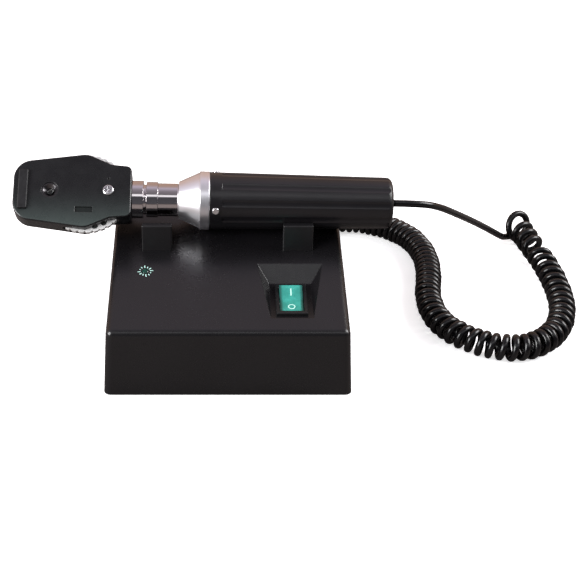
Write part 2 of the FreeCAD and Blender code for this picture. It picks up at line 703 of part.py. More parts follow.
def make_switch():
    half_x, half_y = switch_opening()
    well_x = ROCKER_WIDTH / 2 + ROCKER_GAP
    well_y = ROCKER_LENGTH / 2 + ROCKER_END_GAP
    bezel = box(-BEZEL_WIDTH / 2, BEZEL_WIDTH / 2, -BEZEL_LENGTH / 2, BEZEL_LENGTH / 2, 0, BEZEL_HEIGHT)
    bezel = round_edges(bezel, 0.5, lambda e: e.BoundBox.ZMin > BEZEL_HEIGHT - 0.01)
    body = box(-half_x, half_x, -half_y, half_y, -SWITCH_BODY_DEPTH, 0)
    well = box(-well_x, well_x, -well_y, well_y, -ROCKER_HEIGHT - 2.0, BEZEL_HEIGHT)
    axle = rod(PIVOT_RADIUS, (-half_x, 0, -PIVOT_DEPTH), (1, 0, 0), 2 * half_x)
    housing = bezel.fuse(body).cut(well).cut(axle)
    housing.Placement = SWITCH_PLACE
    save("switch_housing", housing)
    axle.Placement = SWITCH_PLACE
    save("switch_pin", axle)
    half = ROCKER_LENGTH / 2
    skirt = PIVOT_DEPTH + 0.4
    outline = [(-half, -skirt), (-half, ROCKER_RISE), (0, ROCKER_RISE - ROCKER_DISH), (half, ROCKER_RISE),
               (half, -skirt), (2.5, -ROCKER_HEIGHT), (-2.5, -ROCKER_HEIGHT)]
    loop = [Vector(-ROCKER_WIDTH / 2, y, z) for y, z in outline]
    loop.append(loop[0])
    rocker = Part.Face(Part.makePolygon(loop)).extrude(Vector(ROCKER_WIDTH, 0, 0))
    rocker = rocker.cut(rod(PIVOT_RADIUS + RUNNING_GAP, (-half_x, 0, -PIVOT_DEPTH), (1, 0, 0), 2 * half_x))
    rocker.rotate(Vector(0, 0, -PIVOT_DEPTH), Vector(1, 0, 0), -ROCKER_TILT)
    rocker.Placement = SWITCH_PLACE.multiply(rocker.Placement)
    save("switch_rocker", rocker)
    blades = []
    for y in (-7.0, 0.0, 7.0):
        blade = box(-2.4, 2.4, y - 0.4, y + 0.4, -SWITCH_BODY_DEPTH - TERMINAL_LENGTH, -SWITCH_BODY_DEPTH)
        blade.Placement = SWITCH_PLACE
        blades.append(blade)
    save("switch_terminals", Part.makeCompound(blades))


def wall_y(z):
    """Outer face of the back wall at height z."""
    return BASE_DEPTH / 2 - z * math.tan(BASE_DRAFT)


def make_back_fittings():
    seat = wall_y(INLET_Z - INLET_FLANGE_HEIGHT / 2)
    half_w = INLET_FLANGE_WIDTH / 2
    half_h = INLET_FLANGE_HEIGHT / 2
    flange = box(INLET_X - half_w, INLET_X + half_w, seat, seat + INLET_FLANGE_THICKNESS,
                 INLET_Z - half_h, INLET_Z + half_h)
    flange = round_edges(flange, INLET_ROUND, lambda e: abs(direction_of(e).y) > 0.9)
    body_w = INLET_WIDTH / 2 - INLET_GAP
    body_h = INLET_HEIGHT / 2 - INLET_GAP
    body = box(INLET_X - body_w, INLET_X + body_w, seat - INLET_BODY_DEPTH, seat, INLET_Z - body_h,
               INLET_Z + body_h)
    mouth_w = body_w - INLET_WALL
    mouth_h = body_h - INLET_WALL
    mouth = box(INLET_X - mouth_w, INLET_X + mouth_w, seat - INLET_BODY_DEPTH + INLET_WALL,
                seat + INLET_FLANGE_THICKNESS, INLET_Z - mouth_h, INLET_Z + mouth_h)
    inlet = flange.fuse(body).cut(mouth)
    blades = []
    for dx, dz in ((-PIN_SPACING, -PIN_STEP_DOWN), (0.0, PIN_STEP_UP), (PIN_SPACING, -PIN_STEP_DOWN)):
        blade = box(INLET_X + dx - PIN_HALF_WIDTH, INLET_X + dx + PIN_HALF_WIDTH,
                    seat - INLET_BODY_DEPTH - PIN_TAIL, seat - PIN_TIP_BACK,
                    INLET_Z + dz - PIN_HALF_HEIGHT, INLET_Z + dz + PIN_HALF_HEIGHT)
        inlet = inlet.cut(blade)
        blades.append(blade)
    screws = []
    for side in (-1, 1):
        x = INLET_X + side * INLET_SCREW_SPACING / 2
        shank = rod(SCREW_RADIUS, (x, seat - 7.0, INLET_Z), (0, 1, 0), 7.0 + INLET_FLANGE_THICKNESS)
        head = Part.makeCone(SCREW_RADIUS, SCREW_HEAD_RADIUS, 1.4,
                             Vector(x, seat + INLET_FLANGE_THICKNESS - 1.4, INLET_Z), Vector(0, 1, 0))
        slot = box(x - 3, x + 3, seat + INLET_FLANGE_THICKNESS - 0.5, seat + INLET_FLANGE_THICKNESS,
                   INLET_Z - 0.35, INLET_Z + 0.35)
        screw = shank.fuse(head)
        inlet = inlet.cut(screw)
        screws.append(screw.cut(slot))
    save("mains_inlet", inlet)
    save("inlet_pins", Part.makeCompound(blades))
    save("inlet_screws", Part.makeCompound(screws))
    save("cord_gland", make_gland())


def make_fuse():
    """Panel fuse holder in the back wall, with a slotted cap that turns in it."""
    seat = wall_y(FUSE_Z - FUSE_CAP_RADIUS)
    back = (0, 1, 0)
    fuse = rod(FUSE_RADIUS - 0.1, (FUSE_X, seat - FUSE_DEPTH, FUSE_Z), back, FUSE_DEPTH)
    fuse = fuse.fuse(rod(FUSE_CAP_RADIUS, (FUSE_X, seat, FUSE_Z), back, FUSE_CAP_FLANGE))
    bore = FUSE_PLUG_RADIUS + FUSE_PLUG_GAP
    save("fuse_holder", fuse.cut(rod(bore, (FUSE_X, seat - FUSE_PLUG_LENGTH - 1.0, FUSE_Z), back,
                                     FUSE_PLUG_LENGTH + 1.0 + FUSE_CAP_FLANGE)))
    cap = rod(FUSE_PLUG_RADIUS, (FUSE_X, seat - FUSE_PLUG_LENGTH, FUSE_Z), back,
              FUSE_PLUG_LENGTH + FUSE_CAP_FLANGE)
    cap = cap.fuse(rod(FUSE_KNOB_RADIUS, (FUSE_X, seat + FUSE_CAP_FLANGE, FUSE_Z), back, FUSE_KNOB_LENGTH))
    top = seat + FUSE_CAP_FLANGE + FUSE_KNOB_LENGTH
    slot = box(FUSE_X - FUSE_PLUG_RADIUS, FUSE_X + FUSE_PLUG_RADIUS, top - FUSE_SLOT_DEPTH, top,
               FUSE_Z - FUSE_SLOT_WIDTH / 2, FUSE_Z + FUSE_SLOT_WIDTH / 2)
    save("fuse_cap", cap.cut(slot).removeSplitter())


def make_gland():
    """Rubber strain relief in the back wall, with a tapered nose around the cord."""
    seat = wall_y(GLAND_Z - GLAND_RADIUS - GLAND_COLLAR)
    inner = wall_y(GLAND_Z) - SHELL_WALL
    neck = rod(GLAND_RADIUS - RUNNING_GAP, (GLAND_X, inner - GLAND_INNER, GLAND_Z), (0, 1, 0),
               seat - inner + GLAND_INNER)
    collar = rod(GLAND_RADIUS + GLAND_COLLAR, (GLAND_X, seat, GLAND_Z), (0, 1, 0), GLAND_COLLAR)
    nose = Part.makeCone(GLAND_RADIUS, CORD_RADIUS + GLAND_NOSE_WALL, GLAND_NOSE,
                         Vector(GLAND_X, seat + GLAND_COLLAR, GLAND_Z), Vector(0, 1, 0))
    return union([neck, collar, nose])


def gland_mouth():
    seat = wall_y(GLAND_Z - GLAND_RADIUS - GLAND_COLLAR)
    return (GLAND_X, seat + GLAND_COLLAR + GLAND_NOSE, GLAND_Z)


# ---- handset, built along its own X axis ----
RING_3 = -FLANGE_WIDTH - CONE_LENGTH
RING_2 = RING_3 - SLEEVE_LENGTH
GROOVE = RING_2 - LOCK_RING_WIDTH
RING_1 = GROOVE - GROOVE_WIDTH
SOCKET_END = RING_1 - SOCKET_WIDTH
HEAD_RIGHT = SOCKET_END - HEAD_SEAT_GAP
HEAD_LEFT = HEAD_RIGHT - HEAD_LENGTH
HEAD_SHOULDER_X = HEAD_RIGHT - HEAD_SHOULDER_LENGTH
DISC_X = HEAD_RIGHT - DISC_FROM_RIGHT
EYE_X = DISC_X - LENS_CIRCLE
BROW_X = HEAD_LEFT + BROW_FROM_LEFT
FACE_SCREW_X = HEAD_RIGHT - FACE_SCREW_FROM_RIGHT
WINDOW_X = DISC_X - WINDOW_FROM_DISC
WHEEL_X = HEAD_RIGHT - WHEEL_FROM_RIGHT
CONDENSER_X = DISC_X - CONDENSER_FROM_DISC
FACE_TURN = Rotation(Vector(1, 0, 0), 90.0 - FACE_ELEVATION)


def radial(angle):
    """Unit direction across the handset axis, angle degrees above straight to the front."""
    a = math.radians(angle)
    return Vector(0, -math.cos(a), math.sin(a))


def make_barrel():
    profile = [(0, BARREL_BORE), (0, BARREL_LEFT_RADIUS), (BARREL_LENGTH, BARREL_RIGHT_RADIUS),
               (BARREL_LENGTH, GROMMET_BODY_RADIUS), (BARREL_LENGTH - BARREL_END_WALL, GROMMET_BODY_RADIUS),
               (BARREL_LENGTH - BARREL_END_WALL, BARREL_BORE)]
    barrel = revolve_x(profile)
    barrel = round_edges(barrel, BARREL_END_ROUND,
                         lambda e: e.BoundBox.XMin > BARREL_LENGTH - 0.1 and e.BoundBox.YLength > 24)
    lean = math.atan2(BARREL_LEFT_RADIUS - BARREL_RIGHT_RADIUS, BARREL_LENGTH)
    scoop = (FLUTE_WIDTH ** 2 / 4 + FLUTE_DEPTH ** 2) / (2 * FLUTE_DEPTH)
    for k in range(FLUTES):
        out = radial(FLUTE_PHASE + k * 360.0 / FLUTES)
        middle = BARREL_LEFT_RADIUS - FLUTE_START * math.tan(lean) - FLUTE_DEPTH + scoop
        start = Vector(FLUTE_START, 0, 0) + out * middle
        along = (Vector(math.cos(lean), 0, 0) - out * math.sin(lean)).normalize()
        barrel = barrel.cut(rod(scoop, start, along, FLUTE_END - FLUTE_START))
    screws = []
    for k in range(BARREL_SCREWS):
        out = radial(BARREL_SCREW_PHASE + k * BARREL_SCREW_STEP)
        top = BARREL_LEFT_RADIUS - BARREL_SCREW_X * math.tan(lean)
        foot = Vector(BARREL_SCREW_X, 0, 0) + out * (BARREL_BORE - 1.2)
        shank = rod(BARREL_SCREW_SHANK, foot, out, top - BARREL_BORE + 1.2)
        sink = Vector(BARREL_SCREW_X, 0, 0) + out * (top - 0.4)
        head = rod(BARREL_SCREW_RADIUS, sink, out, BARREL_SCREW_HEIGHT + 0.4)
        head = head.makeFillet(0.5, [e for e in head.Edges if len(e.Vertexes) == 1
                                     and (e.CenterOfMass - sink).Length > 1.0])
        screw = shank.fuse(head)
        barrel = barrel.cut(screw)
        slot = box(-0.25, 0.25, -2.0, 2.0, 0.0, 0.5)
        slot.Placement = Placement(sink + out * (BARREL_SCREW_HEIGHT - 0.1), Rotation(Vector(0, 0, 1), out))
        screws.append(screw.cut(slot))
    save("barrel", barrel)
    save("barrel_screws", Part.makeCompound(screws))
    return screws


def make_neck(screws):
    spigot = BARREL_BORE - SPIGOT_GAP
    cone = revolve_x([(RING_3, CONE_BORE), (RING_3, CONE_SMALL_RADIUS), (-FLANGE_WIDTH, CONE_LARGE_RADIUS),
                      (-FLANGE_WIDTH, FLANGE_RADIUS), (0, FLANGE_RADIUS), (0, spigot),
                      (SPIGOT_LENGTH, spigot), (SPIGOT_LENGTH, CONE_BORE)])
    cone = round_edges(cone, 0.5, lambda e: abs(e.BoundBox.XMin - e.BoundBox.XMax) < 0.01
                       and e.BoundBox.YLength > 2 * FLANGE_RADIUS - 0.1)
    for screw in screws:
        cone = cone.cut(screw)
    save("adapter_cone", cone)
    neck = revolve_x([(SOCKET_END + 1.0, NECK_BORE), (SOCKET_END + 1.0, NECK_RADIUS),
                      (RING_2, NECK_RADIUS), (RING_2, SLEEVE_RADIUS), (RING_3, SLEEVE_RADIUS),
                      (RING_3, CONE_BORE), (-2.0, CONE_BORE), (-2.0, NECK_BORE)])
    neck = round_edges(neck, 0.8, lambda e: abs(e.BoundBox.XMin - RING_3) < 0.01
                       and abs(e.BoundBox.XMax - RING_3) < 0.01 and e.BoundBox.YLength > 16.0)
    save("neck_sleeve", neck)
    bore = NECK_RADIUS + NECK_CLEARANCE
    ring = revolve_x([(GROOVE + RING_GAP, bore), (GROOVE + RING_GAP, LOCK_RING_RADIUS),
                      (RING_2 - RING_GAP, LOCK_RING_RADIUS), (RING_2 - RING_GAP, bore)])
    save("lock_ring", ring)
    socket = revolve_x([(GROOVE - RING_GAP, bore), (GROOVE - RING_GAP, GROOVE_RADIUS),
                        (RING_1, GROOVE_RADIUS), (RING_1, SOCKET_RADIUS), (SOCKET_END, SOCKET_RADIUS),
                        (SOCKET_END, SOCKET_PLATE_RADIUS), (SOCKET_END - HEAD_WALL, SOCKET_PLATE_RADIUS),
                        (SOCKET_END - HEAD_WALL, bore)])
    save("head_socket", socket)
    tip = SOCKET_END + 1.0
    base = rod(LAMP_BASE_RADIUS, (tip - 1.0, 0, 0), (1, 0, 0), LAMP_BASE_LENGTH)
    base = base.fuse(rod(NECK_RADIUS - 1.2, (tip - 1.0, 0, 0), (1, 0, 0), 1.0))
    save("lamp_base", base)
    glass = rod(LAMP_GLASS_RADIUS, (tip - 1.0 - LAMP_GLASS_LENGTH + LAMP_GLASS_RADIUS, 0, 0), (1, 0, 0),
                LAMP_GLASS_LENGTH - LAMP_GLASS_RADIUS)
    ball = Part.makeSphere(LAMP_GLASS_RADIUS,
                           Vector(tip - 1.0 - LAMP_GLASS_LENGTH + LAMP_GLASS_RADIUS, 0, 0))
    save("lamp_glass", glass.fuse(ball).removeSplitter())
    contact_x = tip - 1.0 + LAMP_BASE_LENGTH
    save("contact_pin", rod(CONTACT_RADIUS, (contact_x, 0, 0), (1, 0, 0), CONTACT_LENGTH))
    save("contact_spring", make_spring(contact_x))
    start = contact_x + CONTACT_LENGTH
    carrier = rod(NECK_BORE - SPIGOT_GAP, (start, 0, 0), (1, 0, 0), -2.0 - start)
    save("contact_carrier", carrier.fuse(rod(CONE_BORE - 0.2, (-2.0, 0, 0), (1, 0, 0), 8.0)).removeSplitter())


def make_spring(start):
    """Small coil spring round the contact pin, from start along the handset axis."""
    coil = CONTACT_RADIUS + SPRING_WIRE
    length = CONTACT_LENGTH - 2 * SPRING_WIRE
    count = SPRING_TURNS * SPRING_STEPS
    points = []
    for k in range(count + 1):
        a = 2 * math.pi * k / SPRING_STEPS
        points.append((start + SPRING_WIRE + length * k / count, coil * math.cos(a), coil * math.sin(a)))
    return bent_tube(points, SPRING_WIRE / 2)[0]


def make_handle_inside():
    radius = BARREL_BORE - TUBE_GAP
    bore = radius - INSULATOR_WALL
    left = SPIGOT_LENGTH + TUBE_GAP
    right = BARREL_LENGTH - BARREL_END_WALL - GROMMET_FLANGE - TUBE_GAP
    tube = revolve_x([(left, bore), (left, radius), (right, radius), (right, bore)])
    save("insulating_tube", tube)
    middle = BARREL_LENGTH / 2
    block = box(middle - TERMINAL_BLOCK_LENGTH / 2, middle + TERMINAL_BLOCK_LENGTH / 2,
                -TERMINAL_BLOCK_WIDTH / 2, TERMINAL_BLOCK_WIDTH / 2,
                -TERMINAL_BLOCK_HEIGHT / 2, TERMINAL_BLOCK_HEIGHT / 2)
    places = [(middle + sx * TERMINAL_BLOCK_LENGTH / 4, sy * TERMINAL_BLOCK_WIDTH / 4)
              for sx in (-1, 1) for sy in (-1, 1)]
    depth = TERMINAL_BLOCK_HEIGHT / 2
    block = cut_all(block, [rod(TERMINAL_SCREW_RADIUS + RUNNING_GAP, (x, y, 0.0), (0, 0, 1), depth)
                            for x, y in places])
    save("terminal_block", block)
    save("terminal_screws", Part.makeCompound([rod(TERMINAL_SCREW_RADIUS, (x, y, 0.2), (0, 0, 1), depth - 0.6)
                                               for x, y in places]))
    end = BARREL_LENGTH
    inner = end - BARREL_END_WALL
    flange = rod(GROMMET_FLANGE_RADIUS, (inner - GROMMET_FLANGE, 0, 0), (1, 0, 0), GROMMET_FLANGE)
    body = rod(GROMMET_BODY_RADIUS - 0.05, (inner, 0, 0), (1, 0, 0), BARREL_END_WALL)
    nose = Part.makeCone(GROMMET_BODY_RADIUS - GROMMET_STEP, CORD_RADIUS + GROMMET_NOSE_WALL,
                         GROMMET_NOSE, Vector(end, 0, 0), Vector(1, 0, 0))
    save("end_grommet", union([flange, body, nose]))


# ---- head, built with x along the handset, y as v and z as w, then turned about X ----
def head_wire(inset, w, right=None):
    """Outline of the head at height w, drawn in by inset, or by right at its right end."""
    right = inset if right is None else right
    corners = [(HEAD_LEFT + inset, HEAD_LEFT_HALF - inset), (DISC_X, HEAD_WIDE_HALF - inset),
               (HEAD_SHOULDER_X, HEAD_SHOULDER_HALF - inset), (HEAD_RIGHT - right, HEAD_RIGHT_HALF - inset)]
    radii = [HEAD_LEFT_ROUND - inset, HEAD_WIDE_ROUND, HEAD_SHOULDER_ROUND,
             max(HEAD_RIGHT_ROUND - inset, HEAD_RIGHT_ROUND / 4)]
    loop = [(x, v, w) for x, v in corners] + [(x, -v, w) for x, v in reversed(corners)]
    return rounded_outline(loop, radii + radii[::-1])


def head_block(inset, w0, w1):
    return Part.Face(head_wire(inset, w0)).extrude(Vector(0, 0, w1 - w0))


def tapered_back(inset, w0):
    """Rear half of the head: upright sides, then sides that draw in to its back at w0."""
    start = SPLIT_W - BACK_TAPER_FROM
    upright = head_block(inset, start, SPLIT_W)
    wires = [head_wire(inset, start), head_wire(inset + BACK_TAPER, w0 + BACK_BEVEL, inset),
             head_wire(inset + BACK_TAPER + BACK_BEVEL, w0, inset + BACK_BEVEL)]
    return upright.fuse(Part.makeLoft(wires, True, True)).removeSplitter()


def in_face(name, shape):
    """Turn a head piece from its own axes to the handset's."""
    shape.Placement = Placement(Vector(0, 0, 0), FACE_TURN).multiply(shape.Placement)
    save(name, shape)


def cover_screw_places():
    return [(BROW_X, -COVER_SCREW_V), (BROW_X, COVER_SCREW_V)]


def make_front_cover():
    disc_top = SPLIT_W + DISC_GAP + DISC_THICKNESS + DISC_GAP
    body = head_block(0.0, SPLIT_W + COVER_SEAM, FACE_W)
    body = round_edges(body, FACE_EDGE_ROUND, lambda e: e.BoundBox.ZMin > FACE_W - 0.01)
    hollow = head_block(HEAD_WALL, SPLIT_W, FACE_W - HEAD_WALL)
    lip = rod(DISC_RADIUS + DISC_GAP, (DISC_X, 0, SPLIT_W), (0, 0, 1), disc_top - SPLIT_W)
    cover = body.cut(hollow).cut(lip)
    cover = cover.fuse(rod(AXLE_BOSS_RADIUS, (DISC_X, 0, disc_top), (0, 0, 1), FACE_W - disc_top - 0.5))
    cover = cover.cut(rod(AXLE_RADIUS, (DISC_X, 0, SPLIT_W), (0, 0, 1), FACE_W - HEAD_WALL - SPLIT_W))
    cover = cover.cut(rod(EYE_RING_RADIUS, (EYE_X, 0, SPLIT_W), (0, 0, 1), 10))
    cover = cover.cut(box(WINDOW_X - WINDOW_WIDTH / 2, WINDOW_X + WINDOW_WIDTH / 2,
                          WINDOW_V - WINDOW_HEIGHT / 2, WINDOW_V + WINDOW_HEIGHT / 2,
                          FACE_W - HEAD_WALL - 1, FACE_W + 1))
    for x, v in cover_screw_places():
        boss = rod(COVER_BOSS_RADIUS, (x, v, SPLIT_W + COVER_SEAM), (0, 0, 1), FACE_W - SPLIT_W - 0.5)
        cover = cover.fuse(boss.common(head_block(0.0, SPLIT_W + COVER_SEAM, FACE_W - 0.5)))
        cover = cover.cut(rod(COVER_SCREW_RADIUS, (x, v, SPLIT_W), (0, 0, 1), FACE_W))
        cover = cover.cut(rod(COVER_SCREW_HEAD, (x, v, FACE_W - 1.2), (0, 0, 1), 2))
    cover = cover.cut(rod(FACE_SCREW_SHANK, (FACE_SCREW_X, 0, SPLIT_W), (0, 0, 1), 10))
    cover = cover.cut(rod(DOT_RADIUS, (FACE_SCREW_X, DOT_V, FACE_W - 0.6), (0, 0, 1), 2))
    socket = rod(SOCKET_RADIUS, (SOCKET_END - 6.0, 0, 0), (1, 0, 0), 6.0)
    in_face("front_cover", cover.cut(socket))


def make_rear_cover():
    body = tapered_back(0.0, BACK_W)
    cover = body.cut(tapered_back(HEAD_WALL, BACK_W + HEAD_WALL))
    cover = cover.cut(rod(SOCKET_PLATE_RADIUS, (HEAD_RIGHT - HEAD_WALL - 1, 0, 0), (1, 0, 0), 6.0))
    filled = tapered_back(0.3, BACK_W + 0.5)
    for x, v in cover_screw_places():
        boss = rod(COVER_BOSS_RADIUS, (x, v, BACK_W + 0.5), (0, 0, 1), SPLIT_W - BACK_W - 0.5)
        cover = cover.fuse(boss.common(filled))
        cover = cover.cut(rod(COVER_SCREW_RADIUS, (x, v, SPLIT_W - 8.0), (0, 0, 1), 9.0))
    slot_w = WHEEL_THICKNESS / 2 + WHEEL_SLOT_GAP
    reach = math.sqrt((WHEEL_RADIUS + WHEEL_SLOT_GAP) ** 2 - (BACK_W + HEAD_WALL - WHEEL_W) ** 2)
    cover = cover.cut(box(WHEEL_X - slot_w, WHEEL_X + slot_w, -reach, reach, BACK_W - 1,
                          BACK_W + HEAD_WALL + 1))
    for side in (-1, 1):
        x = WHEEL_X + side * (slot_w + 1.5)
        ear = box(x - 1.2, x + 1.2, -3.0, 3.0, BACK_W + 0.5, WHEEL_W + 2.0)
        cover = cover.fuse(ear)
    cover = cover.cut(rod(WHEEL_AXLE_RADIUS, (WHEEL_X - slot_w - 3.0, 0, WHEEL_W), (1, 0, 0),
                          2 * slot_w + 6.0))
    cover = cover.cut(rod(PATIENT_WINDOW_RADIUS, (EYE_X, 0, BACK_W - 1), (0, 0, 1), HEAD_WALL + 2))
    return cover


def make_head():
    cover = make_rear_cover()
    make_front_cover()
    disc_w = SPLIT_W + DISC_GAP
    # the axle stands on a bridge that crosses the rear cover above the lamp's light path
    half = HEAD_WIDE_HALF - HEAD_WALL - 0.2
    bridge = box(DISC_X - 3.5, DISC_X + 3.5, -half, half, SPLIT_W - 1.6, SPLIT_W - 0.2)
    bridge = bridge.common(head_block(HEAD_WALL - 0.2, SPLIT_W - BACK_TAPER_FROM, SPLIT_W))
    cover = cover.fuse(bridge)
    cover = cover.cut(rod(AXLE_RADIUS, (DISC_X, 0, SPLIT_W - 2.0), (0, 0, 1), 3.0))
    in_face("rear_cover", cover.removeSplitter())
    axle_top = FACE_W - HEAD_WALL
    in_face("disc_axle", rod(AXLE_RADIUS, (DISC_X, 0, SPLIT_W - 1.6), (0, 0, 1), axle_top - SPLIT_W + 1.6))
    disc = rod(DISC_RADIUS, (DISC_X, 0, disc_w), (0, 0, 1), DISC_THICKNESS)
    tools = [rod(AXLE_RADIUS + RUNNING_GAP, (DISC_X, 0, disc_w), (0, 0, 1), DISC_THICKNESS)]
    for k in range(SCALLOPS):
        a = 2 * math.pi * k / SCALLOPS
        reach = DISC_RADIUS + SCALLOP_RADIUS * 0.4
        tools.append(rod(SCALLOP_RADIUS, (DISC_X + reach * math.cos(a), reach * math.sin(a), disc_w),
                         (0, 0, 1), DISC_THICKNESS))
    lenses = []
    for k in range(LENS_COUNT):
        a = math.pi + 2 * math.pi * k / LENS_COUNT
        place = (DISC_X + LENS_CIRCLE * math.cos(a), LENS_CIRCLE * math.sin(a), disc_w)
        tools.append(rod(LENS_RADIUS, place, (0, 0, 1), DISC_THICKNESS))
        lens = rod(LENS_RADIUS, (place[0], place[1], disc_w + 0.5), (0, 0, 1), DISC_THICKNESS - 1.0)
        lenses.append(lens)
    in_face("lens_disc", disc.cut(Part.makeCompound(tools)))
    in_face("disc_lenses", Part.makeCompound(lenses))
    make_face_details()
    make_optics()


def make_face_details():
    disc_top = SPLIT_W + 2 * DISC_GAP + DISC_THICKNESS
    ring = rod(EYE_RING_RADIUS - 0.02, (EYE_X, 0, disc_top + 0.3), (0, 0, 1),
               FACE_W - EYE_RECESS - disc_top - 0.3)
    ring = ring.cut(rod(EYE_HOLE_RADIUS, (EYE_X, 0, disc_top), (0, 0, 1), 6))
    dish = Part.makeCone(EYE_HOLE_RADIUS, EYE_RING_RADIUS - 0.8, 1.6,
                         Vector(EYE_X, 0, FACE_W - EYE_RECESS - 1.6))
    in_face("eye_ring", ring.cut(dish))
    brow = box(BROW_X - BROW_WIDTH / 2, BROW_X + BROW_WIDTH / 2, -BROW_HALF, BROW_HALF, FACE_W,
               FACE_W + BROW_THICKNESS)
    brow = round_edges(brow, 0.7, lambda e: e.BoundBox.ZMax > FACE_W + 0.1)
    in_face("brow_rest", brow)
    screws = []
    for x, v in cover_screw_places():
        head = rod(COVER_SCREW_HEAD - 0.05, (x, v, FACE_W - 1.2), (0, 0, 1), 1.1)
        screws.append(head.fuse(rod(COVER_SCREW_RADIUS, (x, v, SPLIT_W - 5.0), (0, 0, 1),
                                    FACE_W - 1.2 - SPLIT_W + 5.0)))
    in_face("cover_screws", Part.makeCompound(screws))
    head = rod(FACE_SCREW_RADIUS, (FACE_SCREW_X, 0, FACE_W), (0, 0, 1), FACE_SCREW_HEIGHT)
    head = round_edges(head, 0.7, lambda e: e.BoundBox.ZMin > FACE_W + FACE_SCREW_HEIGHT - 0.01)
    spring_w = FACE_W - HEAD_WALL - DETENT_THICKNESS
    shank = rod(FACE_SCREW_SHANK, (FACE_SCREW_X, 0, spring_w), (0, 0, 1), FACE_W - spring_w)
    slot_a = box(-0.4, 0.4, -1.8, 1.8, 0, 0.8)
    slot_b = box(-1.8, 1.8, -0.4, 0.4, 0, 0.8)
    cross = slot_a.fuse(slot_b)
    cross.translate(Vector(FACE_SCREW_X, 0, FACE_W + FACE_SCREW_HEIGHT - 0.7))
    in_face("face_screw", head.fuse(shank).cut(cross))
    leaf = box(FACE_SCREW_X - DETENT_WIDTH / 2, FACE_SCREW_X + DETENT_WIDTH / 2, -3.0,
               DETENT_LENGTH - 3.0, spring_w, spring_w + DETENT_THICKNESS)
    leaf = leaf.cut(rod(FACE_SCREW_SHANK, (FACE_SCREW_X, 0, spring_w - 1), (0, 0, 1), 3))
    in_face("detent_spring", leaf)
    pane = box(WINDOW_X - WINDOW_WIDTH / 2, WINDOW_X + WINDOW_WIDTH / 2, WINDOW_V - WINDOW_HEIGHT / 2,
               WINDOW_V + WINDOW_HEIGHT / 2, FACE_W - HEAD_WALL, FACE_W - HEAD_WALL + WINDOW_THICKNESS)
    in_face("dioptre_window", pane)


def prism(corners, half):
    """Block with an (x, w) outline, reaching half to each side of the head's middle."""
    loop = [Vector(x, -half, w) for x, w in corners]
    loop.append(loop[0])
    return Part.Face(Part.makePolygon(loop)).extrude(Vector(0, 2 * half, 0))


def make_optics():
    wheel = rod(WHEEL_RADIUS, (WHEEL_X - WHEEL_THICKNESS / 2, 0, WHEEL_W), (1, 0, 0), WHEEL_THICKNESS)
    tools = [rod(WHEEL_AXLE_RADIUS + RUNNING_GAP, (WHEEL_X - 3, 0, WHEEL_W), (1, 0, 0), 6)]
    for k in range(WHEEL_HOLES):
        a = 2 * math.pi * k / WHEEL_HOLES
        place = (WHEEL_X - 3, WHEEL_HOLE_CIRCLE * math.sin(a), WHEEL_W + WHEEL_HOLE_CIRCLE * math.cos(a))
        tools.append(rod(0.5 + 0.22 * k, place, (1, 0, 0), 6))
    for k in range(WHEEL_KNURLS):
        a = 2 * math.pi * (k + 0.5) / WHEEL_KNURLS
        reach = WHEEL_RADIUS + 0.15
        tools.append(rod(0.4, (WHEEL_X - 3, reach * math.sin(a), WHEEL_W + reach * math.cos(a)), (1, 0, 0), 6))
    in_face("filter_wheel", wheel.cut(Part.makeCompound(tools)))
    slot_w = WHEEL_THICKNESS / 2 + WHEEL_SLOT_GAP
    in_face("wheel_axle", rod(WHEEL_AXLE_RADIUS, (WHEEL_X - slot_w - 2.7, 0, WHEEL_W), (1, 0, 0),
                              2 * slot_w + 5.4))
    tube = rod(CONDENSER_RADIUS + TUBE_WALL, (CONDENSER_X - TUBE_LENGTH, 0, 0), (1, 0, 0), TUBE_LENGTH)
    tube = tube.cut(rod(CONDENSER_RADIUS, (CONDENSER_X - TUBE_LENGTH, 0, 0), (1, 0, 0), TUBE_LENGTH))
    in_face("condenser_tube", tube)
    lens = rod(CONDENSER_RADIUS, (CONDENSER_X - CONDENSER_LENGTH, 0, 0), (1, 0, 0), CONDENSER_LENGTH - 1)
    in_face("condenser_lens", lens)
    half = BLOCK_WIDTH / 2
    floor_w = BACK_W + HEAD_WALL
    reach = MIRROR_HALF
    skin = MIRROR_THICKNESS / math.sqrt(2)
    left = EYE_X - reach - BLOCK_TAIL
    block = prism([(EYE_X - reach, -reach), (EYE_X + reach, reach), (left, reach), (left, floor_w),
                   (left + 3.0, floor_w), (left + 3.0, -reach)], half)
    sight = rod(BLOCK_HOLE_RADIUS, (EYE_X, 0, BACK_W), (0, 0, 1), SPLIT_W - BACK_W)
    in_face("mirror_block", block.cut(sight))
    glass = prism([(EYE_X - reach, -reach), (EYE_X - reach + skin, -reach - skin),
                   (EYE_X + reach + skin, reach - skin), (EYE_X + reach, reach)], half)
    pupil = rod(MIRROR_HOLE_RADIUS, (EYE_X, 0, BACK_W), (0, 0, 1), SPLIT_W - BACK_W)
    in_face("mirror", glass.cut(pupil))
    pane = rod(PATIENT_WINDOW_RADIUS - 0.02, (EYE_X, 0, BACK_W + 0.2), (0, 0, 1), 1.0)
    in_face("patient_window", pane)


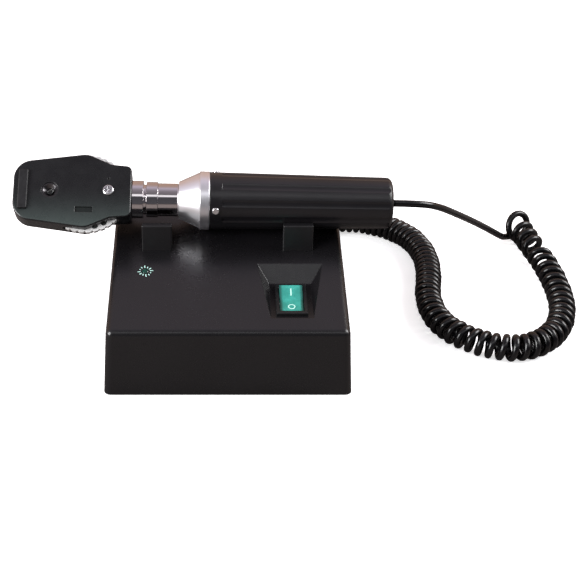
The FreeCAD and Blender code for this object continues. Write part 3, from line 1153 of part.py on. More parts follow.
def handset_place():
    """The tapered barrel lies on the panel and leans on the top edge of the right peg."""
    lean = math.atan2(BARREL_LEFT_RADIUS - BARREL_RIGHT_RADIUS, BARREL_LENGTH)
    run = PEG_SPACING / 2 - HANDSET_X
    edge_y = PEG_FACE_Y + PEG_TOP_THICKNESS
    reach = BARREL_LEFT_RADIUS - run * math.tan(lean) + REST_GAP
    rise = math.tan(PANEL_SLOPE)
    # axis height over the peg is rise * y + drop; the axis is reach away from the peg's edge
    drop = panel_z(0.0) + (BARREL_LEFT_RADIUS + REST_GAP) / math.cos(PANEL_SLOPE)
    drop -= run * math.tan(math.radians(HANDSET_TILT)) + PEG_TOP_Z
    a = 1 + rise ** 2
    b = rise * drop - edge_y
    c = edge_y ** 2 + drop ** 2 - reach ** 2
    y = (-b + math.sqrt(b ** 2 - a * c)) / a
    z = panel_z(y) + (BARREL_LEFT_RADIUS + REST_GAP) / math.cos(PANEL_SLOPE)
    return Placement(Vector(HANDSET_X, y, z), Rotation(Vector(0, 1, 0), HANDSET_TILT))


def main():
    os.makedirs("parts", exist_ok=True)
    make_base_shell()
    make_bottom()
    make_transformer()
    make_board()
    make_pegs()
    make_pilot()
    make_switch()
    make_back_fittings()
    make_fuse()
    base_nodes = set(SHAPES)
    screws = make_barrel()
    make_neck(screws)
    make_handle_inside()
    make_head()
    place = handset_place()
    for name in set(SHAPES) - base_nodes:
        SHAPES[name].Placement = place.multiply(SHAPES[name].Placement)
    tip = BARREL_LENGTH + GROMMET_NOSE
    lead = [tuple(place.multVec(Vector(tip + run, 0, 0))) for run in (0.0, LEAD_FIRST_RUN)]
    mouth = gland_mouth()
    save_cord("cord_lead", lead + LEAD_POINTS, CORD_RADIUS)
    save_cord("cord_curl", CURL_POINTS, CURL_RADIUS)
    save_cord("cord_tail", [CURL_POINTS[-1]] + TAIL_POINTS + [mouth], CORD_RADIUS)
    for name, shape in SHAPES.items():
        if not shape.isValid() or shape.Volume <= 0:
            print("BAD", name, shape.isValid(), shape.Volume)
        shape.exportStep("parts/" + name + ".step")
    print(len(SHAPES), "nodes")
    print("lead start", [tuple(round(c, 2) for c in p) for p in lead])
    print("gland mouth", mouth)
    print("handset origin", place.Base, "axis", place.Rotation.multVec(Vector(1, 0, 0)))
    face = place.Rotation.multiply(FACE_TURN)
    print("face normal", face.multVec(Vector(0, 0, 1)))
    print("disc centre", place.multVec(FACE_TURN.multVec(Vector(DISC_X, 0, SPLIT_W + DISC_GAP))))
    print("wheel centre", place.multVec(FACE_TURN.multVec(Vector(WHEEL_X, 0, WHEEL_W))))
    print("rocker pivot", SWITCH_PLACE.multVec(Vector(0, 0, -PIVOT_DEPTH)))


main()
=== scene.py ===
import json
import math

import bpy
import numpy as np
from mathutils import Matrix, Vector


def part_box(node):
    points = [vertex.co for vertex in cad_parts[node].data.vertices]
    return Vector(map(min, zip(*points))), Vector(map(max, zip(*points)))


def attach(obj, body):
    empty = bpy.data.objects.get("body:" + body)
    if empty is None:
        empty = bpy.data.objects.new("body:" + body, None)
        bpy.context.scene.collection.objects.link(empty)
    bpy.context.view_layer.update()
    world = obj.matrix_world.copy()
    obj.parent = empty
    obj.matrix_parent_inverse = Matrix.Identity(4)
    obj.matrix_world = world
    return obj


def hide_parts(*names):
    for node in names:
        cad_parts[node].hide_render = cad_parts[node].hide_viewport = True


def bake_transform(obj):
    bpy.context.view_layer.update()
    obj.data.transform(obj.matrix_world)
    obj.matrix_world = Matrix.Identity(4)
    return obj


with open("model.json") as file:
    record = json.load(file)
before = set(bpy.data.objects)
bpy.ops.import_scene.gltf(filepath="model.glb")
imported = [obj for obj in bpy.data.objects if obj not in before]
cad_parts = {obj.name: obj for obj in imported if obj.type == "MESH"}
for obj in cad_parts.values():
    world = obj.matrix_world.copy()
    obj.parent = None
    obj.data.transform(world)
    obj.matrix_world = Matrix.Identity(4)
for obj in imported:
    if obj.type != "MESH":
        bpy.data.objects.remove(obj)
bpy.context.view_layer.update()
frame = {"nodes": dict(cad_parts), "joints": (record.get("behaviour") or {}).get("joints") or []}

nodes = frame["nodes"]
joints = {joint["name"]: joint for joint in frame["joints"]}

# ======== camera ========
# It stands in front of the base, to the left of its middle, and looks down on it. Its lens is
# shifted sideways, so that the whole cord comes into view.
CAMERA_PLACE = (-0.0057, -0.5778, 0.3951)
CAMERA_DOWN = math.radians(32.0)
CAMERA_LENS = 83.7
CAMERA_SENSOR = 36.0
CAMERA_SHIFT = 0.1314

camera_data = bpy.data.cameras.new("camera")
camera_data.lens = CAMERA_LENS
camera_data.sensor_width = CAMERA_SENSOR
camera_data.shift_x = CAMERA_SHIFT
camera_data.dof.use_dof = False
camera = bpy.data.objects.new("camera", camera_data)
camera.location = CAMERA_PLACE
camera.rotation_euler = (math.pi / 2 - CAMERA_DOWN, 0, 0)
bpy.context.scene.collection.objects.link(camera)
bpy.context.scene.camera = camera

# ======== curly cord ========
# A vinyl-jacketed low-voltage cord, round and black. A straight lead leaves the handset's end,
# the curly length lies in a loop on the table, and a short tail goes into the back of the base.
WIRE_RADIUS = 0.0018
WIRE_SIDES = 12
ROUTE_STEPS = 24
LEAD_RUN = 0.0148
LEAD_ROUTE = [(0.1085, 0.0300, 0.0610), (0.1200, 0.0440, 0.0492), (0.1335, 0.0615, 0.0346),
              (0.1468, 0.0775, 0.0200), (0.1557, 0.0895, 0.0094)]
CURL_ROUTE = [(0.1665, 0.1060, 0.0092), (0.1700, 0.0880, 0.0083), (0.1748, 0.0660, 0.0073),
              (0.1770, 0.0410, 0.0072), (0.1755, 0.0160, 0.0072), (0.1665, -0.0060, 0.0072),
              (0.1480, -0.0195, 0.0072), (0.1260, -0.0145, 0.0072), (0.1090, 0.0030, 0.0072),
              (0.1055, 0.0270, 0.0072), (0.1098, 0.0500, 0.0072), (0.1108, 0.0740, 0.0072),
              (0.1030, 0.0965, 0.0072), (0.0815, 0.1115, 0.0072), (0.0580, 0.1130, 0.0072),
              (0.0420, 0.0995, 0.0072), (0.0380, 0.0820, 0.0074)]
TAIL_ROUTE = [(0.0380, 0.0735, 0.0120), (0.0380, 0.0650, 0.0150)]
TAIL_RUN = 0.004
HELIX_RADIUS = 0.0052
HELIX_STEPS = 20
FINE_STEPS = 8000
LEAD_IN = 0.0075
LEAD_IN_LIFT = Vector((0, -0.001, 0.0012))
TURN_BACK = 0.0315
TURN_BACK_RADIUS = 0.0038
TURN_BACK_LIMIT = 0.9999
# Distances along the curly length, and the spacing of its turns there, with uneven waves on it.
PITCH_AT = [0.000, 0.060, 0.090, 0.115, 0.140, 0.165, 0.185, 0.210, 0.232, 0.255, 0.400]
PITCHES = [0.0073, 0.0066, 0.0056, 0.0050, 0.0051, 0.0052, 0.0050, 0.0047, 0.0042, 0.0040, 0.0040]
PITCH_WAVES = [(0.06, 310.0), (0.04, 787.0)]
RADIUS_WAVE = (0.02, 450.0)
FIRST_TURN_GROWTH = 0.0012
FIRST_TURN_LEAN = 0.62
FIRST_TURN_REACH = 0.016
LAST_TURN_REACH = 0.013
LAST_TURN_SPREAD = 0.013
LAST_TURN_SHRINK = 0.7
# A direction that no path starts along, to lay the first ring of a tube by.
ASIDE = (0.3, 0.2, 1.0)
BEVEL_SAMPLES = 6
EDGE_SHARP = 0.75
EDGE_OPEN = 0.99


def spline_points(points):
    """Points along the smooth spline that has the given control points."""
    curve = bpy.data.curves.new("route", "CURVE")
    curve.dimensions = "3D"
    spline = curve.splines.new("NURBS")
    spline.points.add(len(points) - 1)
    for control, point in zip(spline.points, points):
        control.co = (*point, 1.0)
    spline.order_u = 3
    spline.use_endpoint_u = True
    spline.resolution_u = ROUTE_STEPS
    holder = bpy.data.objects.new("route", curve)
    mesh = bpy.data.meshes.new_from_object(holder)
    line = np.empty(len(mesh.vertices) * 3)
    mesh.vertices.foreach_get("co", line)
    bpy.data.meshes.remove(mesh)
    bpy.data.objects.remove(holder)
    bpy.data.curves.remove(curve)
    return line.reshape(-1, 3)


def unit(vectors):
    """Each vector divided by its length."""
    return vectors / np.linalg.norm(vectors, axis=-1, keepdims=True)


def helix_around(line):
    """Wire centres: centre(s) + radius(s) * (side cos a + up sin a), s being the distance along line.
    The angle a moves by a whole turn over each pitch, at first one way and past TURN_BACK the other,
    through a round bend, as a coil that was pulled and let go does. The first turn is wider and its
    top leans back. The last one opens and narrows towards the tail."""
    along = np.concatenate(([0.0], np.cumsum(np.linalg.norm(np.diff(line, axis=0), axis=1))))
    fine = np.linspace(0.0, along[-1], FINE_STEPS)
    pitch = np.interp(fine, PITCH_AT, PITCHES)
    for share, rate in PITCH_WAVES:
        pitch = pitch * (1 + share * np.sin(fine * rate))
    pitch = pitch + LAST_TURN_SPREAD * np.clip(1 - (along[-1] - fine) / LAST_TURN_REACH, 0, 1)
    wound = np.concatenate(([0.0], np.cumsum(2 * np.pi * np.diff(fine) / pitch[1:])))
    bend = np.clip((fine - TURN_BACK) / TURN_BACK_RADIUS, -TURN_BACK_LIMIT, TURN_BACK_LIMIT)
    steepest = 2 * np.pi * HELIX_RADIUS / pitch
    hand = np.clip(bend / np.sqrt(1 - bend * bend) / steepest, -1, 1)
    angle = np.cumsum(np.diff(wound, prepend=0.0) * hand) - np.pi / 2
    s = np.interp(np.arange(0.0, wound[-1], 2 * np.pi / HELIX_STEPS), wound, fine)
    turned = np.interp(s, fine, angle)
    slopes = np.gradient(line, along, axis=0)
    centre = np.stack([np.interp(s, along, line[:, k]) for k in range(3)], axis=1)
    ahead = unit(np.stack([np.interp(s, along, slopes[:, k]) for k in range(3)], axis=1))
    side = unit(np.cross(ahead, (0.0, 0.0, 1.0)))
    up = np.cross(side, ahead)
    loose = 1 - np.clip(s / FIRST_TURN_REACH, 0, 1)
    loose = loose * loose * (3 - 2 * loose)
    share, rate = RADIUS_WAVE
    radius = (HELIX_RADIUS + FIRST_TURN_GROWTH * loose) * (1 + share * np.sin(s * rate))
    radius = radius * (1 - LAST_TURN_SHRINK * np.clip(1 - (along[-1] - s) / LAST_TURN_REACH, 0, 1))
    wire = centre + (side * np.cos(turned)[:, None] + up * np.sin(turned)[:, None]) * radius[:, None]
    return wire - ahead * (np.sin(turned) * radius * FIRST_TURN_LEAN * loose)[:, None]


def grid_faces(rows, columns, round_rows=False):
    """Four-sided faces between the points of a grid whose rows close on themselves. With
    round_rows, the last row joins the first as well."""
    low = np.arange(rows if round_rows else rows - 1)[:, None] * columns
    high = (low + columns) % (rows * columns)
    k = np.arange(columns)[None, :]
    right = (k + 1) % columns
    return np.stack([low + k, low + right, high + right, high + k], axis=-1).reshape(-1, 4).tolist()


def new_piece(name, points, faces, smooth=True):
    """Object at the origin with a mesh of the given points and faces."""
    mesh = bpy.data.meshes.new(name)
    mesh.from_pydata(np.asarray(points).reshape(-1, 3).tolist(), [], faces)
    mesh.update()
    if smooth:
        mesh.shade_smooth()
    piece = bpy.data.objects.new(name, mesh)
    bpy.context.scene.collection.objects.link(piece)
    return piece


def tube(name, path, radius, sides):
    """Round tube: ring i is centre_i + radius * (across_i cos b + other_i sin b) for b round a turn,
    square to the path there. Each ring's across is the last one's, laid square to the path again."""
    ahead = unit(np.gradient(path, axis=0))
    across = np.empty_like(path)
    last = unit(np.cross(ahead[0], ASIDE))
    for i, direction in enumerate(ahead):
        last = unit(last - direction * last.dot(direction))
        across[i] = last
    other = np.cross(ahead, across)
    b = np.linspace(0, 2 * np.pi, sides, endpoint=False)[None, :, None]
    rings = path[:, None] + radius * (across[:, None] * np.cos(b) + other[:, None] * np.sin(b))
    faces = grid_faces(len(path), sides)
    faces.append(list(range(sides))[::-1])
    faces.append(list(range((len(path) - 1) * sides, len(path) * sides)))
    return new_piece(name, rings, faces)


class Shader:
    """A principled material and the nodes that feed it. Its pattern coordinates are in metres."""

    def __init__(self, name):
        self.material = bpy.data.materials.new(name)
        self.material.use_nodes = True
        self.tree = self.material.node_tree
        self.tree.nodes.clear()
        self.principled = self.add("ShaderNodeBsdfPrincipled")
        self.output = self.add("ShaderNodeOutputMaterial")
        self.link(self.principled.outputs[0], self.output.inputs["Surface"])
        self.where = self.add("ShaderNodeTexCoord").outputs["Object"]

    def add(self, kind, **settings):
        node = self.tree.nodes.new(kind)
        for key, value in settings.items():
            setattr(node, key, value)
        return node

    def link(self, output, target):
        self.tree.links.new(output, target)

    def feed(self, socket, value):
        if isinstance(value, bpy.types.NodeSocket):
            self.link(value, socket)
        elif isinstance(value, tuple) and socket.type == "RGBA":
            socket.default_value = (*value, 1.0)
        else:
            socket.default_value = value

    def set(self, **values):
        for key, value in values.items():
            self.feed(self.principled.inputs[key.replace("_", " ")], value)

    def noise(self, scale, detail=3.0, rough=0.5, where=None):
        node = self.add("ShaderNodeTexNoise")
        node.inputs["Scale"].default_value = scale
        node.inputs["Detail"].default_value = detail
        node.inputs["Roughness"].default_value = rough
        self.link(where or self.where, node.inputs["Vector"])
        return node.outputs["Fac"]

    def stretched(self, x, y, z):
        node = self.add("ShaderNodeMapping", vector_type="POINT")
        node.inputs["Scale"].default_value = (x, y, z)
        self.link(self.where, node.inputs["Vector"])
        return node.outputs[0]

    def span(self, value, low, high, from_low=0.0, from_high=1.0):
        """Value carried from one range to another, and held at its ends."""
        node = self.add("ShaderNodeMapRange")
        self.feed(node.inputs["Value"], value)
        numbers = {"From Min": from_low, "From Max": from_high, "To Min": low, "To Max": high}
        for key, number in numbers.items():
            node.inputs[key].default_value = number
        return node.outputs["Result"]

    def mix(self, share, first, second):
        node = self.add("ShaderNodeMix", data_type="RGBA")
        self.feed(node.inputs["Factor"], share)
        colours = [socket for socket in node.inputs if socket.type == "RGBA"]
        self.feed(colours[0], first)
        self.feed(colours[1], second)
        return [socket for socket in node.outputs if socket.type == "RGBA"][0]

    def maths(self, operation, first, second=0.0):
        node = self.add("ShaderNodeMath", operation=operation)
        self.feed(node.inputs[0], first)
        self.feed(node.inputs[1], second)
        return node.outputs[0]

    def towards(self, direction):
        """Distance of each point from the origin along a direction."""
        node = self.add("ShaderNodeVectorMath", operation="DOT_PRODUCT")
        self.link(self.where, node.inputs[0])
        node.inputs[1].default_value = tuple(direction)
        return node.outputs["Value"]

    def bevel(self, radius):
        node = self.add("ShaderNodeBevel", samples=BEVEL_SAMPLES)
        node.inputs["Radius"].default_value = radius
        return node.outputs[0]

    def relief(self, height, depth, edge=0.0):
        """Bump of a depth in metres, with edges rounded by a radius."""
        node = self.add("ShaderNodeBump")
        node.inputs["Distance"].default_value = depth
        self.link(height, node.inputs["Height"])
        if edge:
            self.link(self.bevel(edge), node.inputs["Normal"])
        self.link(node.outputs[0], self.principled.inputs["Normal"])

    def edges(self, radius):
        """Share that is 0 on open faces and 1 on edges sharper than a radius."""
        dot = self.add("ShaderNodeVectorMath", operation="DOT_PRODUCT")
        self.link(self.bevel(radius), dot.inputs[0])
        self.link(self.add("ShaderNodeNewGeometry").outputs["Normal"], dot.inputs[1])
        return self.span(dot.outputs["Value"], 1.0, 0.0, EDGE_SHARP, EDGE_OPEN)


def finish(piece, material):
    """Makes a material the only one of a piece."""
    piece.data.materials.clear()
    piece.data.materials.append(material)


def cord_vinyl():
    """Glossy black vinyl with duller patches where hands have been."""
    shader = Shader("cord_vinyl")
    dull = shader.noise(420.0, 4.0, 0.6)
    shader.set(Base_Color=shader.mix(dull, (0.0012, 0.0012, 0.0014), (0.0034, 0.0032, 0.0038)))
    shader.set(Roughness=shader.span(dull, 0.17, 0.30, 0.3, 0.7), Specular_IOR_Level=0.45)
    shader.relief(shader.noise(1500.0, 3.0), 0.00002)
    return shader.material


handset_axis = Vector(joints["lock_ring_turn"]["axis"])
ring_centre = Vector(joints["lock_ring_turn"]["pos_m"])
cord_exit = ring_centre + handset_axis * ((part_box("end_grommet")[1].x - ring_centre.x) / handset_axis.x)
gland_low, gland_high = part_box("cord_gland")
gland_mouth = Vector(((gland_low.x + gland_high.x) / 2, gland_high.y, (gland_low.z + gland_high.z) / 2))
curl = helix_around(spline_points(CURL_ROUTE))
before_first_turn = curl[0] - unit(curl[1] - curl[0]) * LEAD_IN + LEAD_IN_LIFT
leaving_last_turn = curl[-1] + unit(curl[-1] - curl[-2]) * TAIL_RUN
lead = spline_points([tuple(cord_exit), tuple(cord_exit + handset_axis * LEAD_RUN), *LEAD_ROUTE,
                      tuple(before_first_turn), tuple(curl[0])])
tail = spline_points([tuple(curl[-1]), tuple(leaving_last_turn), *TAIL_ROUTE, tuple(gland_mouth)])
cord_path = np.concatenate([lead, curl[1:], tail[1:]])
cord = tube("cord_wire", cord_path, WIRE_RADIUS, WIRE_SIDES)
finish(cord, cord_vinyl())
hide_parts("cord_lead", "cord_curl", "cord_tail")
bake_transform(cord)

# ======== cord gland and end grommet ========
# Soft rubber bushings that keep the cord from rubbing on its holes. The gland in the base's back
# wall has a ribbed sleeve over its nose.
SLEEVE_START = 0.0070
SLEEVE_LENGTH = 0.0068
SLEEVE_ROOT = 0.0036
SLEEVE_TIP = 0.0027
SLEEVE_RIBS = 3
SLEEVE_GROOVE = 0.86
# Shares of the sleeve's radii and length: its bore inside the wire, and the rounding of its ends.
SLEEVE_BORE = 0.9
SLEEVE_END = 0.92
SLEEVE_ROUNDING = 0.03
SLEEVE_PLAIN_END = 0.4
# One rib: shares of its length, and the depth of the groove there.
RIB_SHAPE = [(0.45, 1.0), (0.52, SLEEVE_GROOVE), (0.78, SLEEVE_GROOVE), (0.85, 1.0)]
LATHE_SIDES = 48
LATHE_CREASE = math.radians(35)
CAD_CREASE = math.radians(28)


def place_along(origin, x_axis, z_axis):
    """Matrix of a place at origin whose X and Z run along the given directions."""
    x = Vector(x_axis).normalized()
    z = Vector(z_axis).normalized()
    matrix = Matrix((x, z.cross(x), z)).transposed().to_4x4()
    matrix.translation = Vector(origin)
    return np.array(matrix)


def placed(points, place):
    """Points turned as place is turned, then moved to its origin."""
    return np.asarray(points) @ place[:3, :3].T + place[:3, 3]


def turned_piece(name, outline, place):
    """Closed outline of (x, radius) points turned about the X axis of place:
    each point stands at (x, radius cos b, radius sin b) for b round a turn."""
    x, radius = np.array(outline).T[:, :, None]
    b = np.linspace(0, 2 * np.pi, LATHE_SIDES, endpoint=False)[None, :]
    grid = np.stack([x + 0 * b, radius * np.cos(b), radius * np.sin(b)], axis=-1)
    piece = new_piece(name, placed(grid, place), grid_faces(len(outline), LATHE_SIDES, round_rows=True))
    piece.data.set_sharp_from_angle(angle=LATHE_CREASE)
    return piece


def soft_rubber(name, colour, rough):
    """Matt rubber with a dusty bloom."""
    shader = Shader(name)
    bloom = shader.noise(260.0, 5.0, 0.7)
    dusty = tuple(part * 2.6 for part in colour)
    shader.set(Base_Color=shader.mix(shader.span(bloom, 0.0, 0.6, 0.4, 0.75), colour, dusty))
    shader.set(Roughness=shader.span(bloom, rough, rough + 0.12, 0.3, 0.7), Specular_IOR_Level=0.35)
    shader.relief(shader.noise(2600.0, 2.0), 0.00003, 0.0003)
    return shader.material


def dress(material, *names):
    """Gives CAD nodes a finish, with soft shading on their curves and crisp edges."""
    for name in names:
        finish(nodes[name], material)
        nodes[name].data.shade_smooth()
        nodes[name].data.set_sharp_from_angle(angle=CAD_CREASE)


def sleeve_outline():
    """Taper from root to tip with a groove in each rib's share of the length."""
    bore = WIRE_RADIUS * SLEEVE_BORE
    outline = [(0, bore), (0, SLEEVE_ROOT * SLEEVE_END), (SLEEVE_LENGTH * SLEEVE_ROUNDING, SLEEVE_ROOT)]
    for k in range(SLEEVE_RIBS):
        for share, depth in RIB_SHAPE:
            at = (k + share) / (SLEEVE_RIBS + SLEEVE_PLAIN_END)
            outline.append((SLEEVE_LENGTH * at, (SLEEVE_ROOT + (SLEEVE_TIP - SLEEVE_ROOT) * at) * depth))
    outline += [(SLEEVE_LENGTH * (1 - SLEEVE_ROUNDING), SLEEVE_TIP),
                (SLEEVE_LENGTH, SLEEVE_TIP * SLEEVE_END), (SLEEVE_LENGTH, bore)]
    return outline[::-1]


rubber_black = soft_rubber("rubber_black", (0.0055, 0.0053, 0.0056), 0.5)
sleeve_place = place_along(gland_mouth - Vector((0, SLEEVE_START, 0)), (0, 1, 0), (0, 0, 1))
gland_sleeve = turned_piece("gland_sleeve", sleeve_outline(), sleeve_place)
finish(gland_sleeve, rubber_black)
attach(gland_sleeve, "base")
dress(rubber_black, "cord_gland", "end_grommet")

# ======== base case ========
# Injection-moulded black plastic with a fine grain, semi-gloss, open underneath. A bottom plate is
# screwed into its four corners, and a rubber mat is stuck under the plate.
WEAR = 0.3
WORN_PLASTIC = (0.035, 0.034, 0.037)


def moulded_plastic(name, dark, light, rough, grain, edge):
    """Fine-grained moulded plastic with faint patches of handling and polished edges."""
    shader = Shader(name)
    patches = shader.span(shader.noise(38.0, 4.0), 0.0, 1.0, 0.35, 0.7)
    worn = shader.maths("MULTIPLY", shader.edges(edge), WEAR)
    shader.set(Base_Color=shader.mix(worn, shader.mix(patches, dark, light), WORN_PLASTIC))
    shader.set(Roughness=shader.span(shader.noise(120.0, 5.0, 0.65), rough - 0.015, rough + 0.03, 0.3, 0.7))
    shader.set(Specular_IOR_Level=0.5)
    shader.relief(shader.noise(grain, 2.0, 0.6), 0.000015, edge)
    return shader.material


def plated_metal(name, colour, rough, scale):
    """Plated or bare metal, slightly mottled."""
    shader = Shader(name)
    mottle = shader.noise(scale, 3.0, 0.6)
    dull = tuple(part * 0.45 for part in colour)
    shader.set(Base_Color=shader.mix(shader.span(mottle, 0.0, 0.35, 0.4, 0.8), colour, dull), Metallic=1.0)
    shader.set(Roughness=shader.span(mottle, rough, rough + 0.14, 0.3, 0.7))
    shader.relief(mottle, 0.000005, 0.0002)
    return shader.material


case_black = moulded_plastic("case_black", (0.0046, 0.0042, 0.0050), (0.0058, 0.0053, 0.0062),
                             0.27, 2600.0, 0.0007)
bare_steel = plated_metal("bare_steel", (0.50, 0.50, 0.52), 0.28, 900.0)
dress(case_black, "base_shell", "bottom_plate")
dress(bare_steel, "bottom_screws")
dress(soft_rubber("mat_rubber", (0.006, 0.006, 0.006), 0.62), "rubber_mat")

# ======== stop pegs ========
# Two flat black tongues on the panel that the handset leans behind, clipped in from inside.
peg_black = moulded_plastic("peg_black", (0.0052, 0.0050, 0.0058), (0.0075, 0.0072, 0.0082),
                            0.36, 2400.0, 0.0006)
dress(peg_black, "stop_peg_left", "stop_peg_right")

# ======== pilot lamp ========
# A small dark-green lens flush with the panel, over a lamp, inside a ring of short printed rays.
PANEL_SLOPE = math.radians(15.0)
PANEL_OUT = Vector((0, -math.sin(PANEL_SLOPE), math.cos(PANEL_SLOPE)))
PRINT_LIFT = 0.00004
RAY_COUNT = 12
RAY_START = 0.0023
RAY_END = 0.0035
RAY_UNEVEN = 0.0004
RAY_WIDTH = 0.00044
RAY_FIRST_ANGLE = 0.13
# Rate and start of the waves that make the rays' starts and ends uneven.
RAY_START_WAVE = (5.3, 0.0)
RAY_END_WAVE = (2.1, 1.0)
PANEL_MATCH = 0.9999
PANEL_DIGITS = 5


def flat_shapes(name, shapes, place, material):
    """Thin print: four-cornered shapes in the plane of place, a hair above it."""
    corners = np.asarray(shapes).reshape(-1, 2)
    points = np.column_stack([corners, np.full(len(corners), PRINT_LIFT)])
    faces = np.arange(len(corners)).reshape(-1, 4).tolist()
    piece = new_piece(name, placed(points, place), faces, smooth=False)
    finish(piece, material)
    return piece


def printed_ink(name, colour, glow):
    """Thin ink that lets the plastic show through in spots. Its glow, where given, is painted light."""
    shader = Shader(name)
    patchy = shader.span(shader.noise(1400.0, 3.0, 0.6), 0.0, 0.6, 0.45, 0.8)
    thin = tuple(part * 0.4 for part in colour)
    shader.set(Base_Color=shader.mix(patchy, colour, thin), Roughness=0.5)
    shader.set(Emission_Color=colour, Emission_Strength=glow)
    shader.relief(shader.noise(2200.0, 2.0), 0.00001)
    return shader.material


def tinted_plastic(name, deep, pale, rough, glow):
    """Clear coloured plastic with light inside it."""
    shader = Shader(name)
    depth = shader.span(shader.noise(160.0, 2.0), 0.0, 1.0, 0.35, 0.65)
    colour = shader.mix(depth, deep, pale)
    shader.set(Base_Color=colour, Roughness=rough, Specular_IOR_Level=0.6)
    shader.set(Emission_Color=colour, Emission_Strength=glow)
    shader.relief(shader.noise(1800.0, 2.0), 0.00001, 0.0004)
    return shader.material


def panel_height():
    """Distance of the panel's plane from the origin: the commonest one of the faces that lie in it."""
    faces = nodes["base_shell"].data.polygons
    normals = np.empty(len(faces) * 3)
    centres = np.empty(len(faces) * 3)
    areas = np.empty(len(faces))
    faces.foreach_get("normal", normals)
    faces.foreach_get("center", centres)
    faces.foreach_get("area", areas)
    level = normals.reshape(-1, 3) @ np.array(PANEL_OUT) > PANEL_MATCH
    heights = np.round(centres.reshape(-1, 3)[level] @ np.array(PANEL_OUT), PANEL_DIGITS)
    kinds, which = np.unique(heights, return_inverse=True)
    return float(kinds[np.bincount(which.ravel(), areas[level]).argmax()])


def ray_shapes():
    """Ray k points out at angle a_k; its corners are start and end distance along it, and half its
    width to each side. The ends are uneven, as screen printing leaves them."""
    k = np.arange(RAY_COUNT)
    a = np.linspace(0, 2 * np.pi, RAY_COUNT, endpoint=False) + RAY_FIRST_ANGLE
    out = np.column_stack([np.cos(a), np.sin(a)])
    side = np.column_stack([-np.sin(a), np.cos(a)]) * RAY_WIDTH / 2
    start_wave = np.sin(RAY_START_WAVE[0] * k + RAY_START_WAVE[1])
    end_wave = np.sin(RAY_END_WAVE[0] * k + RAY_END_WAVE[1])
    start = out * (RAY_START + RAY_UNEVEN / 2 * start_wave)[:, None]
    end = out * (RAY_END + RAY_UNEVEN * end_wave)[:, None]
    return np.stack([start - side, end - side, end + side, start + side], axis=1)


lens_middle = sum(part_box("pilot_lens"), Vector()) / 2
lens_middle += PANEL_OUT * (panel_height() - lens_middle.dot(PANEL_OUT))
# The mint ink is given a faint glow: painted light, as print makes none.
mint_ink_painted_glow = printed_ink("mint_ink_painted_glow", (0.50, 0.80, 0.72), 0.15)
rays_place = place_along(lens_middle, (1, 0, 0), PANEL_OUT)
pilot_rays = flat_shapes("pilot_rays", ray_shapes(), rays_place, mint_ink_painted_glow)
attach(pilot_rays, "base")
cream_moulding = moulded_plastic("cream_moulding", (0.42, 0.39, 0.33), (0.52, 0.49, 0.42),
                                 0.45, 1800.0, 0.0004)
lamp_green = tinted_plastic("lamp_green", (0.002, 0.022, 0.016), (0.004, 0.05, 0.036), 0.12, 0.1)
dress(lamp_green, "pilot_lens")
dress(cream_moulding, "pilot_lamp")

# ======== rocker switch ========
# A snap-in switch in a sunken pocket of the panel. Its rocker is clear green plastic lit from
# inside, with a bar on the back half and a ring on the front half, pressed down at the front.
POCKET_DROP = 0.0055
POCKET_RUN = 0.0275
POCKET_SLOPE = PANEL_SLOPE - math.atan2(POCKET_DROP, POCKET_RUN)
ROCKER_TILT = math.radians(9.0)
DISH_DROP = 0.0009
DISH_RUN = 0.0093
ROCKER_DISH = math.atan2(DISH_DROP, DISH_RUN)
ROCKER_MIDDLE = 0.0031
ROCKER_BRIGHT_HALF = 0.0040
ROCKER_EDGE = 0.0010
ROCKER_BRIGHT = [(0.015, 0.21, 0.17), (0.03, 0.29, 0.24)]
ROCKER_DEEP = (0.003, 0.075, 0.060)
ROCKER_GLOW = 0.16
MARK_DISTANCE = 0.0050
BAR_LENGTH = 0.0044
BAR_WIDTH = 0.0006
RING_RADIUS = 0.0018
RING_WIDTH = 0.0005
RING_STEPS = 40


def rocker_plastic(middle_x):
    """Green plastic, brightest over the lamp in its middle and deeper towards its sides."""
    shader = Shader("rocker_green")
    off_middle = shader.maths("ABSOLUTE", shader.maths("SUBTRACT", shader.towards((1, 0, 0)), middle_x))
    deep = shader.span(off_middle, 0.0, 1.0, ROCKER_BRIGHT_HALF, ROCKER_BRIGHT_HALF + ROCKER_EDGE)
    cloudy = shader.span(shader.noise(240.0, 2.0), 0.0, 1.0, 0.35, 0.65)
    colour = shader.mix(deep, shader.mix(cloudy, *ROCKER_BRIGHT), ROCKER_DEEP)
    shader.set(Base_Color=colour, Roughness=0.16, Specular_IOR_Level=0.6)
    shader.set(Emission_Color=colour, Emission_Strength=ROCKER_GLOW)
    shader.relief(shader.noise(1800.0, 2.0), 0.00001, 0.0004)
    return shader.material


def half_place(side):
    """Place in the middle of the rocker's back (+1) or front (-1) half, on its dished face."""
    pivot = Matrix.Translation(Vector(joints["switch_rock"]["pos_m"]))
    tilted = pivot @ Matrix.Rotation(POCKET_SLOPE + ROCKER_TILT, 4, "X")
    face = tilted @ Matrix.Translation((0, 0, ROCKER_MIDDLE))
    return np.array(face @ Matrix.Rotation(side * ROCKER_DISH, 4, "X")
                    @ Matrix.Translation((0, side * MARK_DISTANCE, 0)))


def ring_shapes():
    """A flat ring in four-cornered pieces between two circles."""
    a = np.linspace(0, 2 * np.pi, RING_STEPS + 1)
    inner = np.column_stack([np.cos(a), np.sin(a)]) * (RING_RADIUS - RING_WIDTH)
    outer = np.column_stack([np.cos(a), np.sin(a)]) * RING_RADIUS
    return np.stack([inner[:-1], outer[:-1], outer[1:], inner[1:]], axis=1)


